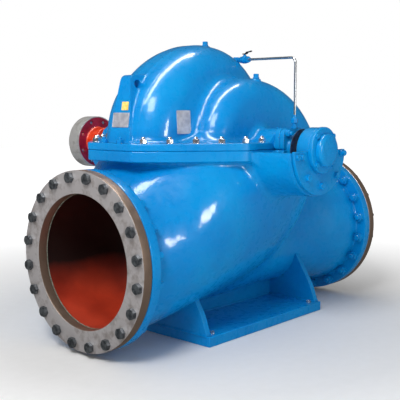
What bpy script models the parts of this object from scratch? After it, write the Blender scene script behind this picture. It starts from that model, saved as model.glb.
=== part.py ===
"""Horizontal split-case, double-suction centrifugal pump with in-line nozzles, in metres.

x runs from the suction flange to the discharge flange, y along the shaft towards the coupling,
and z up from the underside of the pedestal. The shaft's axis stands over the origin.
The non-drive end is the one at low y.
"""

import math

import bmesh
import bpy
from mathutils import Matrix, Vector

# Main sizes
SHAFT_HEIGHT = 0.750
NOZZLE_HEIGHT = 0.350
SUCTION_JOINT = -0.647
DISCHARGE_JOINT = 0.790
GAP = 0.0003
SPLIT_GAP = 0.0004

# Flanges, nominal bore 500 mm
FLANGE_RADIUS = 0.335
BORE_RADIUS = 0.250
CASING_FLANGE = 0.040
COMPANION_FLANGE = 0.038
GASKET = 0.003
GASKET_RADIUS = 0.296

# Split flange, seen from above: one half of its outline, mirrored in y
SPLIT_OUTLINE = (
    (-0.548, 0.119),
    (-0.450, 0.225),
    (-0.235, 0.388),
    (-0.214, 0.400),
    (0.214, 0.400),
    (0.250, 0.385),
    (0.410, 0.260),
    (0.490, 0.119),
)
UPPER_FLANGE = 0.027
LOWER_FLANGE = 0.040

# Lower casing: x, half width, lowest, widest and highest z of each cross-section
SUCTION_SECTIONS = (
    (-0.625, 0.285, 0.065, 0.350, 0.635),
    (-0.560, 0.290, 0.060, 0.355, 0.645),
    (-0.480, 0.312, 0.064, 0.400, 0.700),
    (-0.400, 0.345, 0.078, 0.460, 0.770),
    (-0.300, 0.373, 0.098, 0.520, 0.850),
    (-0.180, 0.388, 0.120, 0.580, 0.900),
    (-0.050, 0.388, 0.142, 0.620, 0.940),
    (0.080, 0.378, 0.168, 0.650, 0.960),
    (0.220, 0.355, 0.218, 0.670, 0.960),
    (0.340, 0.308, 0.290, 0.690, 0.960),
    (0.430, 0.245, 0.390, 0.700, 0.940),
    (0.480, 0.155, 0.520, 0.710, 0.860),
)
DISCHARGE_SECTIONS = (
    (-0.300, 0.150, 0.112, 0.400, 0.900),
    (-0.100, 0.170, 0.098, 0.400, 0.900),
    (0.080, 0.172, 0.100, 0.380, 0.890),
    (0.250, 0.166, 0.110, 0.340, 0.830),
    (0.430, 0.161, 0.107, 0.300, 0.760),
    (0.540, 0.205, 0.098, 0.330, 0.690),
    (0.650, 0.262, 0.078, 0.347, 0.650),
    (0.730, 0.285, 0.066, 0.350, 0.637),
    (0.770, 0.285, 0.065, 0.350, 0.635),
)
SECTION_SIDES = 40

# Blind water passages: distance from the flange joint and radius
SUCTION_PASSAGE = ((-0.010, 0.250), (0.200, 0.250), (0.300, 0.235), (0.380, 0.190), (0.420, 0.120))
DISCHARGE_PASSAGE = (
    (-0.010, 0.250),
    (0.050, 0.250),
    (0.130, 0.236),
    (0.200, 0.205),
    (0.280, 0.165),
    (0.350, 0.135),
    (0.420, 0.120),
)

# Volute: radius about the shaft and half width of the crown, smallest at the discharge side
# and growing over the top, with flanks that lean outwards towards the shaft
VOLUTE_RADIUS = 0.355
VOLUTE_GROWTH = 0.129
VOLUTE_GROWS_FROM = 50.0
VOLUTE_GROWS_TO = 157.0
VOLUTE_HALF_WIDTH = 0.120
VOLUTE_WIDENS = 0.045
VOLUTE_SHOULDER = 0.100
SHOULDER_WIDENS = 0.030
FLANK_LEAN = 0.050
FLANK_FOOT = 0.030

# Suction dome of the upper casing: distance from the middle and radius where it is lowest
DOME_PROFILE = (
    (0.050, 0.275),
    (0.200, 0.275),
    (0.235, 0.271),
    (0.258, 0.254),
    (0.275, 0.224),
    (0.284, 0.185),
    (0.289, 0.130),
    (0.290, 0.030),
)
# Share by which the dome widens towards the discharge side, and at its foot on the suction side
DOME_WIDENS = 0.50
DOME_FLARE = 0.22
DOME_FLARE_START = 164.0

# Stuffing boxes, with square end flanges
STUFFING_BOX_RADIUS = 0.078
STUFFING_BOX_END = 0.440
BOX_FLANGE = (0.085, 0.020, 0.081)
SHAFT_BORE = 0.050

# Bearing brackets of the lower casing
BRACKET_PROFILE = ((0.350, 0.196), (0.400, 0.185), (0.470, 0.179), (0.543, 0.175), (0.557, 0.172))
TROUGH_RADIUS = 0.159
TROUGH_END_RADIUS = 0.150
TROUGH_START = 0.385
TROUGH_INNER = 0.120
BRACKET_END = 0.557
BRACKET_RIM = 0.014

# Bearings
BARREL_RADIUS = 0.085
BARREL_START = 0.512
HOUSING_FLANGE_RADIUS = 0.168
HOUSING_FLANGE_END = 0.570
COVER_RADIUS = 0.087
COVER_END = 0.588
CAP_RADIUS = 0.061
CAP_END = 0.612
CAP_ROUNDING = 0.012
BEARING_BORE = 0.0405

# Rotor
SHAFT_RADIUS = 0.040
SHAFT_JOURNAL = 0.035
SHAFT_START = -0.575
SHAFT_END = 0.774
THROWER = (0.482, 0.490, 0.078)
COUPLING_RADIUS = 0.121
COUPLING_FACE = 0.706
COUPLING_END = 0.776
COUPLING_BACK = 0.640
HUB_RADIUS = 0.068
COUPLING_BORE = 0.0353
KEY_WIDTH = 0.020

# Glands
GLAND_PLATE = (0.083, 0.018, 0.079)
GLAND_RADIUS = 0.060
GLAND_END = 0.476
GLAND_BORE = 0.0405

# Pedestal
PEDESTAL_LEFT = -0.300
PEDESTAL_RIGHT = 0.460
PEDESTAL_DEPTH = 0.283
PEDESTAL_PLATE = 0.040
PEDESTAL_WALL = 0.026
# Half of a side wall, seen along x: distance from the middle and height
WALL_OUTLINE = ((0.268, 0.040), (0.240, 0.115), (0.150, 0.262))

# Lifting lugs: x of the outer face and half width at the base, the same at the top, top and inner end
SUCTION_LUG = ((-0.499, 0.064), (-0.456, 0.0245), 1.030, -0.300)
DISCHARGE_LUG = ((0.400, 0.060), (0.345, 0.0245), 0.960, 0.200)
LUG_HOLE_RADIUS = 0.016
LUG_HOLE_INSET = 0.034

# Flush lines
TAPPING = Vector((0.155, 0.030, 1.099))
TUBE_CORNER = (0.0, 0.4495)
# How far the tube drops between its valve and its bend, at the non-drive end and at the drive end
CORNER_DROPS = (0.016, 0.063)
TUBE_RADIUS = 0.005
TUBE_BEND = 0.025
SOCKET_HEIGHT = 0.026
VALVE_AXIS = 0.014
FITTING_HEIGHT = 0.052
VALVE_START = 0.040
VALVE_END = 0.105
VALVE_STEM = 0.022
LEVER_REACH = 0.050

# Cast bosses on the upper casing, each a point on its flat top
BOSS_RADIUS = 0.019
BOSS_DEPTH = 0.060
VENT_TOP = (-0.010, 0.0, 1.162)
DOME_PLUG_TOP = (0.040, 0.230, 1.024)
BEARING_PLUG = (0.140, 0.735)

# Plates without lettering
PLATE_THICKNESS = 0.002
RATING_PLATE = (0.090, 0.055)
RATING_PLATE_HEIGHT = 0.862
DIRECTION_PLATE = (0.066, 0.088)
DIRECTION_PLATE_RADIUS = 0.336
DIRECTION_PLATE_ANGLE = 162.0

# Colours are linear RGB
PAINT_BLUE = (0.008, 0.190, 0.520, 1.0)
BARE_STEEL = (0.420, 0.400, 0.380, 1.0)
MAROON = (0.180, 0.010, 0.030, 1.0)
BLACK = (0.015, 0.015, 0.017, 1.0)
GREY_FIBRE = (0.080, 0.075, 0.070, 1.0)
ALUMINIUM = (0.700, 0.720, 0.740, 1.0)


def clear_scene():
    for obj in list(bpy.data.objects):
        bpy.data.objects.remove(obj)


def material(name, colour, roughness, metallic):
    made = bpy.data.materials.new(name)
    made.use_nodes = True
    shader = made.node_tree.nodes["Principled BSDF"]
    shader.inputs["Base Color"].default_value = colour
    shader.inputs["Roughness"].default_value = roughness
    shader.inputs["Metallic"].default_value = metallic
    return made


def finish(mesh_data, name, surface):
    """An object of a bmesh, smooth where it is round."""
    bmesh.ops.recalc_face_normals(mesh_data, faces=mesh_data.faces[:])
    mesh = bpy.data.meshes.new(name)
    mesh_data.to_mesh(mesh)
    mesh_data.free()
    mesh.materials.append(surface)
    mesh.shade_smooth()
    mesh.set_sharp_from_angle(angle=math.radians(35))
    obj = bpy.data.objects.new(name, mesh)
    bpy.context.scene.collection.objects.link(obj)
    return obj


def skin(name, rings, surface, ring_closes=False):
    """A closed solid over a row of rings, each a list of points, with flat ends unless it closes on itself."""
    shape = bmesh.new()
    rows = [[shape.verts.new(point) for point in ring] for ring in rings]
    pairs = list(zip(rows, rows[1:]))
    if ring_closes:
        pairs.append((rows[-1], rows[0]))
    else:
        shape.faces.new(rows[0])
        shape.faces.new(rows[-1][::-1])
    for row, following in pairs:
        for i in range(len(row)):
            j = (i + 1) % len(row)
            shape.faces.new((row[i], following[i], following[j], row[j]))
    return finish(shape, name, surface)


def about_axis(axis, along, radius, angle):
    """A point at a distance along an axis, a radius from it and an angle round it."""
    across = (radius * math.cos(angle), radius * math.sin(angle))
    if axis == "X":
        return Vector((along, across[0], across[1]))
    if axis == "Y":
        return Vector((across[0], along, across[1]))
    return Vector((across[0], across[1], along))


def turned(name, axis, centre, profile, surface, sides=40, hollow=False):
    """A turned solid: its profile is pairs of distance along the axis and radius, closed if it is hollow."""
    offset = Vector(centre)
    rings = []
    for along, radius in profile:
        turns = [2 * math.pi * i / sides for i in range(sides)]
        rings.append([offset + about_axis(axis, along, radius, turn) for turn in turns])
    return skin(name, rings, surface, hollow)


def block(name, low, high, surface):
    corners = ((low[0], low[1]), (high[0], low[1]), (high[0], high[1]), (low[0], high[1]))
    rings = [[Vector((x, y, z)) for x, y in corners] for z in (low[2], high[2])]
    return skin(name, rings, surface)


def combined(obj, add=(), cut=(), solver="EXACT"):
    """Joins solids to an object, then cuts others from it, and removes the helpers."""
    for operation, others in (("UNION", add), ("DIFFERENCE", cut)):
        for other in others:
            modifier = obj.modifiers.new(operation.title(), "BOOLEAN")
            modifier.operation = operation
            modifier.solver = solver
            modifier.object = other
            graph = bpy.context.evaluated_depsgraph_get()
            result = bpy.data.meshes.new_from_object(obj.evaluated_get(graph))
            obj.modifiers.clear()
            obj.data = result
            bpy.data.objects.remove(other)
    obj.data.shade_smooth()
    obj.data.set_sharp_from_angle(angle=math.radians(35))
    return obj


def oval_ring(x, half_width, low, middle, high, grow=0.0):
    """A cross-section of the lower casing: an upper and a lower half ellipse."""
    ring = []
    for i in range(SECTION_SIDES):
        angle = 2 * math.pi * i / SECTION_SIDES
        height = high - middle if math.sin(angle) > 0 else middle - low
        y = (half_width + grow) * math.cos(angle)
        z = middle + (height + grow) * math.sin(angle)
        ring.append(Vector((x, y, z)))
    return ring


def lower_body(name, sections, surface, grow=0.0):
    return skin(name, [oval_ring(*section, grow) for section in sections], surface)


def split_flange(name, low, high, surface):
    near = [(x, -y) for x, y in SPLIT_OUTLINE]
    outline = near + list(reversed(SPLIT_OUTLINE))
    rings = [[Vector((x, y, z)) for x, y in outline] for z in (low, high)]
    return skin(name, rings, surface)


def above_split(surface):
    return block("above_split", (-2, -2, SHAFT_HEIGHT - SPLIT_GAP), (2, 2, 3), surface)


def below_split(surface):
    return block("below_split", (-2, -2, -1), (2, 2, SHAFT_HEIGHT), surface)


def shaft_bore(surface):
    profile = ((-1.0, SHAFT_BORE), (1.0, SHAFT_BORE))
    return turned("shaft_bore", "Y", (0, 0, SHAFT_HEIGHT), profile, surface)


def volute_size(angle):
    """Radius and half width of the volute's crown, and radius of its shoulders, at an angle in degrees."""
    share = (angle - VOLUTE_GROWS_FROM) / (VOLUTE_GROWS_TO - VOLUTE_GROWS_FROM)
    share = min(max(share, 0.0), 1.0)
    radius = VOLUTE_RADIUS + VOLUTE_GROWTH * share
    return radius, VOLUTE_HALF_WIDTH + VOLUTE_WIDENS * share, VOLUTE_SHOULDER + SHOULDER_WIDENS * share


def flank(angle, radius):
    """Distance of the volute's flank from the middle, at an angle and a radius."""
    crown, half, rounding = volute_size(angle)
    shoulder = crown - rounding
    return half + FLANK_LEAN * (shoulder - radius) / (shoulder - FLANK_FOOT)


def volute_ring(angle):
    """The volute's cross-section at an angle in degrees: leaning flanks and round shoulders."""
    radius, half, rounding = volute_size(angle)
    round_steps = 5
    foot = half + FLANK_LEAN
    profile = [(-foot, FLANK_FOOT)]
    for side in (-1, 1):
        for i in range(round_steps + 1):
            turn = math.pi / 2 * i / round_steps
            if side > 0:
                turn = math.pi / 2 - turn
            y = side * (half - rounding + rounding * math.cos(turn))
            profile.append((y, radius - rounding + rounding * math.sin(turn)))
    profile.append((foot, FLANK_FOOT))
    turn = math.radians(angle)
    return [Vector((r * math.cos(turn), y, SHAFT_HEIGHT + r * math.sin(turn))) for y, r in profile]


def volute(surface):
    angles = range(-12, 193, 6)
    return skin("volute", [volute_ring(angle) for angle in angles], surface)


def dome_growth(angle):
    """How many times wider the dome stands at an angle in degrees than at its top."""
    if angle < 90:
        return 1 + DOME_WIDENS * ((90 - angle) / 80) ** 2
    return 1 + DOME_FLARE * (max(angle - DOME_FLARE_START, 0) / 12) ** 2


def dome(side, surface):
    """One suction dome, lower over the shaft than towards the split flange."""
    rings = []
    for angle in range(-6, 187, 6):
        turn = math.radians(angle)
        growth = dome_growth(min(max(angle, 0), 176))
        profile = [(DOME_PROFILE[0][0], DOME_PROFILE[-1][1])]
        profile += [(along, radius * growth) for along, radius in DOME_PROFILE[:-1]]
        profile.append(DOME_PROFILE[-1])
        origin = Vector((0, 0, SHAFT_HEIGHT))
        rings.append([origin + about_axis("Y", side * along, radius, turn) for along, radius in profile])
    return skin("dome", rings, surface)


def stuffing_box(side, surface):
    profile = ((side * 0.20, STUFFING_BOX_RADIUS), (side * STUFFING_BOX_END, STUFFING_BOX_RADIUS))
    return turned("stuffing_box", "Y", (0, 0, SHAFT_HEIGHT), profile, surface)


def box_flange(side, surface):
    """The square flange at a stuffing box's outer end."""
    half, thickness, height = BOX_FLANGE
    ends = sorted((side * (STUFFING_BOX_END - thickness), side * (STUFFING_BOX_END - 0.0001)))
    low = (-half, ends[0], SHAFT_HEIGHT - height)
    return block("box_flange", low, (half, ends[1], SHAFT_HEIGHT + height), surface)


def lifting_lug(lug, surface):
    at_base, at_top, top, inner = lug
    rings = []
    for z, (face, half) in ((SHAFT_HEIGHT + 0.010, at_base), (top, at_top)):
        corners = ((face, -half), (inner, -half), (inner, half), (face, half))
        rings.append([Vector((x, y, z)) for x, y in corners])
    plate = skin("lug", rings, surface)
    inset = math.copysign(LUG_HOLE_INSET, inner - at_top[0])
    centre = (at_top[0] + inset, 0, top - LUG_HOLE_INSET)
    hole = turned("lug_hole", "Y", centre, ((-0.1, LUG_HOLE_RADIUS), (0.1, LUG_HOLE_RADIUS)), surface, 20)
    return combined(plate, cut=[hole])


def flange_ring(name, inner_x, outer_x, surface):
    profile = ((inner_x, FLANGE_RADIUS), (outer_x, FLANGE_RADIUS))
    return turned(name, "X", (0, 0, NOZZLE_HEIGHT), profile, surface, 72)


def passage(name, joint, towards, profile, surface):
    points = [(joint + towards * along, radius) for along, radius in profile]
    return turned(name, "X", (0, 0, NOZZLE_HEIGHT), points, surface, 56)


def bracket(side, surface):
    """The half-round trough that carries a bearing, open at the top."""
    outer = turned(
        "bracket",
        "Y",
        (0, 0, SHAFT_HEIGHT),
        [(side * along, radius) for along, radius in BRACKET_PROFILE],
        surface,
        56,
    )
    end = side * (BRACKET_END - BRACKET_RIM)
    flange_back = side * (STUFFING_BOX_END - BOX_FLANGE[1] - GAP)
    profile = [
        (side * TROUGH_START, TROUGH_RADIUS),
        (end, TROUGH_END_RADIUS),
        (end, BARREL_RADIUS + GAP),
        (side * (BRACKET_END + 0.05), BARREL_RADIUS + GAP),
        (side * (BRACKET_END + 0.05), SHAFT_BORE - 0.02),
        (side * STUFFING_BOX_END, SHAFT_BORE - 0.02),
        (side * STUFFING_BOX_END, TROUGH_INNER),
        (flange_back, TROUGH_INNER),
        (flange_back, STUFFING_BOX_RADIUS),
        (side * TROUGH_START, STUFFING_BOX_RADIUS),
    ]
    inside = turned("trough", "Y", (0, 0, SHAFT_HEIGHT), profile, surface, 40, True)
    return outer, inside


def lower_casing(surface):
    casing = lower_body("lower_casing", SUCTION_SECTIONS, surface)
    joints = [flange_ring("suction_end", SUCTION_JOINT, SUCTION_JOINT + CASING_FLANGE, surface)]
    joints.append(flange_ring("discharge_end", DISCHARGE_JOINT, DISCHARGE_JOINT - CASING_FLANGE, surface))
    body = lower_body("discharge_body", DISCHARGE_SECTIONS, surface)
    top = SHAFT_HEIGHT + 0.010
    flange = split_flange("lower_flange", SHAFT_HEIGHT - LOWER_FLANGE, top, surface)
    near, near_inside = bracket(-1, surface)
    far, far_inside = bracket(1, surface)
    boxes = [stuffing_box(-1, surface), stuffing_box(1, surface), box_flange(-1, surface), box_flange(1, surface)]
    bores = [passage("suction_passage", SUCTION_JOINT, 1, SUCTION_PASSAGE, surface)]
    bores.append(passage("discharge_passage", DISCHARGE_JOINT, -1, DISCHARGE_PASSAGE, surface))
    cuts = [near_inside, far_inside, above_split(surface), shaft_bore(surface)]
    # The exact solver leaves edges with three faces where these shapes cross
    return combined(casing, add=[body, *joints, flange, near, far, *boxes], cut=bores + cuts, solver="MANIFOLD")


def boss(x, y, top, surface):
    profile = ((top - BOSS_DEPTH, BOSS_RADIUS), (top, BOSS_RADIUS))
    return turned("boss", "Z", (x, y, 0), profile, surface, 20)


def upper_casing(surface):
    base = SHAFT_HEIGHT - 0.010
    casing = split_flange("upper_casing", base, SHAFT_HEIGHT + UPPER_FLANGE, surface)
    parts = [volute(surface)]
    for side in (-1, 1):
        parts.append(dome(side, surface))
        parts.append(stuffing_box(side, surface))
        parts.append(box_flange(side, surface))
        parts.append(boss(TAPPING.x, side * TAPPING.y, TAPPING.z, surface))
        parts.append(boss(DOME_PLUG_TOP[0], side * DOME_PLUG_TOP[1], DOME_PLUG_TOP[2], surface))
    parts.append(boss(*VENT_TOP, surface))
    parts.append(lifting_lug(SUCTION_LUG, surface))
    parts.append(lifting_lug(DISCHARGE_LUG, surface))
    # As with the lower casing, the exact solver leaves open edges here
    return combined(casing, add=parts, cut=[below_split(surface), shaft_bore(surface)], solver="MANIFOLD")


def companion_flange(name, joint, towards, surface):
    start = joint + towards * (GASKET + 2 * GAP)
    end = start + towards * COMPANION_FLANGE
    profile = ((start, FLANGE_RADIUS), (end, FLANGE_RADIUS), (end, BORE_RADIUS), (start, BORE_RADIUS))
    return turned(name, "X", (0, 0, NOZZLE_HEIGHT), profile, surface, 72, True)


def flange_gasket(name, joint, towards, surface):
    start = joint + towards * GAP
    end = start + towards * GASKET
    profile = ((start, GASKET_RADIUS), (end, GASKET_RADIUS), (end, BORE_RADIUS), (start, BORE_RADIUS))
    return turned(name, "X", (0, 0, NOZZLE_HEIGHT), profile, surface, 56, True)


def bearing_housing(name, side, surface):
    """A barrel round the bearing with a half flange that bolts to the bracket's end."""
    centre = (0, 0, SHAFT_HEIGHT)
    start = side * (BRACKET_END + GAP)
    end = side * HOUSING_FLANGE_END
    plate = turned(name, "Y", centre, ((start, HOUSING_FLANGE_RADIUS), (end, HOUSING_FLANGE_RADIUS)), surface, 56)
    above = block("above_housing", (-1, -2, SHAFT_HEIGHT - SPLIT_GAP), (1, 2, 2), surface)
    combined(plate, cut=[above])
    barrel = turned("barrel", "Y", centre, ((side * BARREL_START, BARREL_RADIUS), (end, BARREL_RADIUS)), surface)
    bore = turned("bore", "Y", centre, ((side * 0.3, BEARING_BORE), (side * 0.7, BEARING_BORE)), surface)
    return combined(plate, add=[barrel], cut=[bore])


def bearing_cover(name, side, surface):
    centre = (0, 0, SHAFT_HEIGHT)
    start = side * (HOUSING_FLANGE_END + GAP)
    end = side * COVER_END
    edge = side * (COVER_END - 0.004)
    profile = (
        (start, COVER_RADIUS),
        (edge, COVER_RADIUS),
        (end, COVER_RADIUS - 0.004),
        (end, BEARING_BORE),
        (start, BEARING_BORE),
    )
    return turned(name, "Y", centre, profile, surface, 48, True)


def end_cap(name, side, surface):
    start = side * (COVER_END + GAP)
    shoulder = CAP_END - CAP_ROUNDING
    profile = [(start, CAP_RADIUS), (side * shoulder, CAP_RADIUS)]
    for degrees in (30, 60, 90):
        turn = math.radians(degrees)
        radius = CAP_RADIUS - 1.5 * CAP_ROUNDING * (1 - math.cos(turn))
        profile.append((side * (shoulder + CAP_ROUNDING * math.sin(turn)), radius))
    return turned(name, "Y", (0, 0, SHAFT_HEIGHT), profile, surface, 48)


def gland(name, side, surface):
    """The square plate that presses on the packing, with a short collar round the shaft."""
    half, thickness, height = GLAND_PLATE
    start = side * (STUFFING_BOX_END + GAP)
    back = start + side * thickness
    ends = sorted((start, back))
    low = (-half, ends[0], SHAFT_HEIGHT - height)
    plate = block(name, low, (half, ends[1], SHAFT_HEIGHT + height), surface)
    centre = (0, 0, SHAFT_HEIGHT)
    inside = back - side * thickness / 2
    collar = turned("collar", "Y", centre, ((inside, GLAND_RADIUS), (side * GLAND_END, GLAND_RADIUS)), surface)
    bore = turned("bore", "Y", centre, ((side * 0.3, GLAND_BORE), (side * 0.7, GLAND_BORE)), surface)
    return combined(plate, add=[collar], cut=[bore])


def shaft(name, surface):
    step = 0.620
    profile = (
        (SHAFT_START, SHAFT_JOURNAL),
        (SHAFT_START + 0.01, SHAFT_RADIUS),
        (step, SHAFT_RADIUS),
        (step, SHAFT_JOURNAL),
        (SHAFT_END, SHAFT_JOURNAL),
    )
    turned_shaft = turned(name, "Y", (0, 0, 0), profile, surface)
    low = (-KEY_WIDTH / 2, COUPLING_BACK + 0.005, SHAFT_JOURNAL - 0.007)
    high = (KEY_WIDTH / 2, SHAFT_END + 0.01, SHAFT_JOURNAL + 0.02)
    combined(turned_shaft, cut=[block("keyway", low, high, surface)])
    turned_shaft.location = (0, 0, SHAFT_HEIGHT)
    return turned_shaft


def shaft_key(name, surface):
    half = KEY_WIDTH / 2 - GAP
    low = (-half, COUPLING_BACK + 0.006, SHAFT_JOURNAL - 0.007 + GAP)
    high = (half, SHAFT_END - 0.002, SHAFT_JOURNAL + 0.004)
    key = block(name, low, high, surface)
    key.location = (0, 0, SHAFT_HEIGHT)
    return key


def coupling_half(name, surface):
    """The hub and the thick disc of a pin coupling, with its keyway and one ring of pin holes."""
    profile = (
        (COUPLING_BACK, HUB_RADIUS),
        (COUPLING_FACE, HUB_RADIUS),
        (COUPLING_FACE, COUPLING_RADIUS),
        (COUPLING_END, COUPLING_RADIUS),
        (COUPLING_END, COUPLING_BORE),
        (COUPLING_BACK, COUPLING_BORE),
    )
    half = turned(name, "Y", (0, 0, 0), profile, surface, 56, True)
    wide = KEY_WIDTH / 2
    low = (-wide, COUPLING_BACK - 0.01, 0.0)
    high = (wide, COUPLING_END + 0.01, SHAFT_JOURNAL + 0.004 + GAP)
    cuts = [block("hub_keyway", low, high, surface)]
    for i in range(8):
        turn = 2 * math.pi * (i + 0.5) / 8
        centre = (0.098 * math.cos(turn), 0, 0.098 * math.sin(turn))
        hole = ((COUPLING_FACE - 0.01, 0.010), (COUPLING_END + 0.01, 0.010))
        cuts.append(turned("pin_hole", "Y", centre, hole, surface, 12))
    combined(half, cut=cuts)
    half.location = (0, 0, SHAFT_HEIGHT)
    return half


def thrower(name, side, surface):
    """A rubber ring on the shaft that throws drips off before they reach the bearing."""
    near, far, radius = THROWER
    inner = SHAFT_RADIUS + GAP
    profile = ((side * near, radius), (side * far, radius), (side * far, inner), (side * near, inner))
    ring = turned(name, "Y", (0, 0, 0), profile, surface, 32, True)
    ring.location = (0, 0, SHAFT_HEIGHT)
    return ring


def pedestal_plate(name, surface):
    low = (PEDESTAL_LEFT, -PEDESTAL_DEPTH, 0)
    high = (PEDESTAL_RIGHT, PEDESTAL_DEPTH, PEDESTAL_PLATE)
    return block(name, low, high, surface)


def fit_under_casing(obj, surface):
    """Cuts a pedestal piece to the casing's underside, with a thin gap."""
    grown = GAP + 0.0002
    bodies = [lower_body("fit_a", SUCTION_SECTIONS, surface, grown)]
    bodies.append(lower_body("fit_b", DISCHARGE_SECTIONS, surface, grown))
    return combined(obj, cut=bodies)


def pedestal_wall(name, outer_x, inward, surface):
    foot = PEDESTAL_PLATE + GAP
    near = [(-y, max(z, foot)) for y, z in WALL_OUTLINE]
    far = [(-y, z) for y, z in reversed(near)]
    outline = near + far
    rings = [[Vector((x, y, z)) for y, z in outline] for x in (outer_x, outer_x + inward * PEDESTAL_WALL)]
    return fit_under_casing(skin(name, rings, surface), surface)


def pedestal_web(name, surface):
    clear = PEDESTAL_WALL + GAP
    low = (PEDESTAL_LEFT + clear, -PEDESTAL_WALL / 2, PEDESTAL_PLATE + GAP)
    high = (PEDESTAL_RIGHT - clear, PEDESTAL_WALL / 2, 0.200)
    return fit_under_casing(block(name, low, high, surface), surface)


def tube_corner(side):
    """Where the tube's two straight lines would meet, over the gland."""
    height = TAPPING.z + GAP + VALVE_AXIS - CORNER_DROPS[side > 0]
    return Vector((TUBE_CORNER[0], side * TUBE_CORNER[1], height))


def flush_socket(name, side, surface):
    """The socket on the volute's crown, with the point and the direction of its outlet."""
    foot = Vector((TAPPING.x, side * TAPPING.y, TAPPING.z + GAP))
    axis_point = foot + Vector((0, 0, VALVE_AXIS))
    along = (tube_corner(side) - axis_point).normalized()
    riser = turned(name, "Z", foot, ((0.0, 0.014), (SOCKET_HEIGHT, 0.014)), surface, 16)
    stub = round_bar("stub", axis_point, along, ((0.0, 0.010), (VALVE_START - GAP, 0.010)), surface)
    combined(riser, add=[stub])
    return along, axis_point


def aim(obj, along, origin):
    """Turns a shape made along z to a direction, and moves it to a point."""
    turn = Vector((0, 0, 1)).rotation_difference(along).to_matrix().to_4x4()
    obj.data.transform(Matrix.Translation(origin) @ turn)
    return obj


def round_bar(name, origin, along, profile, surface, sides=16):
    return aim(turned(name, "Z", (0, 0, 0), profile, surface, sides), along, origin)


def flush_line(end, side, surfaces):
    """Socket, ball valve, lever, bent tube and lower fitting of one stuffing box's flush line."""
    along, axis_point = flush_socket("flush_socket_" + end, side, surfaces["paint"])
    length = VALVE_END - VALVE_START
    body_profile = (
        (0.0, 0.012),
        (0.012, 0.012),
        (0.018, 0.0165),
        (length - 0.018, 0.0165),
        (length - 0.012, 0.012),
        (length, 0.012),
    )
    start = axis_point + along * VALVE_START
    valve = round_bar("flush_valve_" + end, start, along, body_profile, surfaces["paint"], 12)
    stem_foot = axis_point + along * (VALVE_START + length / 2)
    stem = turned("stem", "Z", stem_foot, ((0.0, 0.006), (VALVE_STEM, 0.006)), surfaces["paint"], 12)
    combined(valve, add=[stem])
    valve_lever(end, along, stem_foot + Vector((0, 0, VALVE_STEM + GAP)), surfaces["black"])
    flush_tube(end, side, axis_point + along * (VALVE_END + GAP), surfaces["steel"])
    fitting_profile = ((0.0, 0.008), (0.016, 0.008), (0.020, 0.013), (0.040, 0.013), (0.044, 0.009))
    fitting_profile += ((FITTING_HEIGHT, 0.009),)
    seat = Vector((TUBE_CORNER[0], side * TUBE_CORNER[1], SHAFT_HEIGHT + GLAND_PLATE[2] + GAP))
    turned("flush_fitting_" + end, "Z", seat, fitting_profile, surfaces["paint"], 12)


def valve_lever(end, along, pivot, surface):
    """A flat lever, cranked up from its eye, that lies along the valve when it is open."""
    steps = ((-0.012, 0.0), (0.010, 0.0), (0.018, 0.006), (LEVER_REACH, 0.006))
    thickness = 0.004
    half = 0.007
    lower = [Vector((x, -half, z)) for x, z in steps]
    upper = [Vector((x, -half, z + thickness)) for x, z in reversed(steps)]
    outline = lower + upper
    rings = [outline, [point + Vector((0, 2 * half, 0)) for point in outline]]
    lever = skin("flush_valve_lever_" + end, rings, surface)
    angle = math.atan2(along.y, along.x)
    lever.rotation_euler = (0, 0, angle)
    lever.location = pivot
    return lever


def bend(corner, back, onward):
    """Points of a round bend at a corner between two lines, given as directions away from the corner."""
    half = back.angle(onward) / 2
    reach = TUBE_BEND / math.tan(half)
    centre = corner + (back + onward).normalized() * TUBE_BEND / math.sin(half)
    first = (corner + back * reach - centre).normalized()
    last = (corner + onward * reach - centre).normalized()
    return [centre + first.slerp(last, i / 6) * TUBE_BEND for i in range(7)]


def flush_tube(end, side, start, surface):
    """A bent steel tube from the valve to over the gland, as a curve with a round section."""
    lowest = SHAFT_HEIGHT + GLAND_PLATE[2] + FITTING_HEIGHT + 3 * GAP
    corner = tube_corner(side)
    back = (start - corner).normalized()
    points = [start, *bend(corner, back, Vector((0, 0, -1))), Vector((corner.x, corner.y, lowest))]
    curve = bpy.data.curves.new("flush_tube_" + end, "CURVE")
    curve.dimensions = "3D"
    curve.bevel_depth = TUBE_RADIUS
    curve.bevel_resolution = 2
    curve.use_fill_caps = True
    spline = curve.splines.new("POLY")
    spline.points.add(len(points) - 1)
    for target, point in zip(spline.points, points):
        target.co = (point.x, point.y, point.z, 1)
    curve.materials.append(surface)
    tube = bpy.data.objects.new("flush_tube_" + end, curve)
    bpy.context.scene.collection.objects.link(tube)
    return tube


def plug(name, point, along, surface):
    """A hexagon plug with a round collar."""
    collar = round_bar(name, Vector(point), along, ((0.0, 0.013), (0.008, 0.013)), surface, 16)
    head = round_bar("head", Vector(point), along, ((0.004, 0.010), (0.020, 0.010)), surface, 6)
    return combined(collar, add=[head])


def plate_on(name, size, foot, normal, surface):
    """A thin upright plate whose back stands on a point, facing along a normal."""
    width, height = size
    corners = ((-width / 2, -height / 2), (width / 2, -height / 2), (width / 2, height / 2), (-width / 2, height / 2))
    upward = (Vector((0, 0, 1)) - normal * normal.z).normalized()
    sideways = upward.cross(normal)
    rings = []
    for depth in (GAP, GAP + PLATE_THICKNESS):
        rings.append([foot + sideways * a + upward * b + normal * depth for a, b in corners])
    return skin(name, rings, surface)


def rating_plate(name, surface):
    """Stands on the sloping outer face of the suction lug."""
    base = Vector((SUCTION_LUG[0][0], 0, SHAFT_HEIGHT + 0.010))
    top = Vector((SUCTION_LUG[1][0], 0, SUCTION_LUG[2]))
    share = (RATING_PLATE_HEIGHT - base.z) / (top.z - base.z)
    normal = (top - base).cross(Vector((0, 1, 0))).normalized()
    return plate_on(name, RATING_PLATE, base.lerp(top, share), normal, surface)


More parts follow.
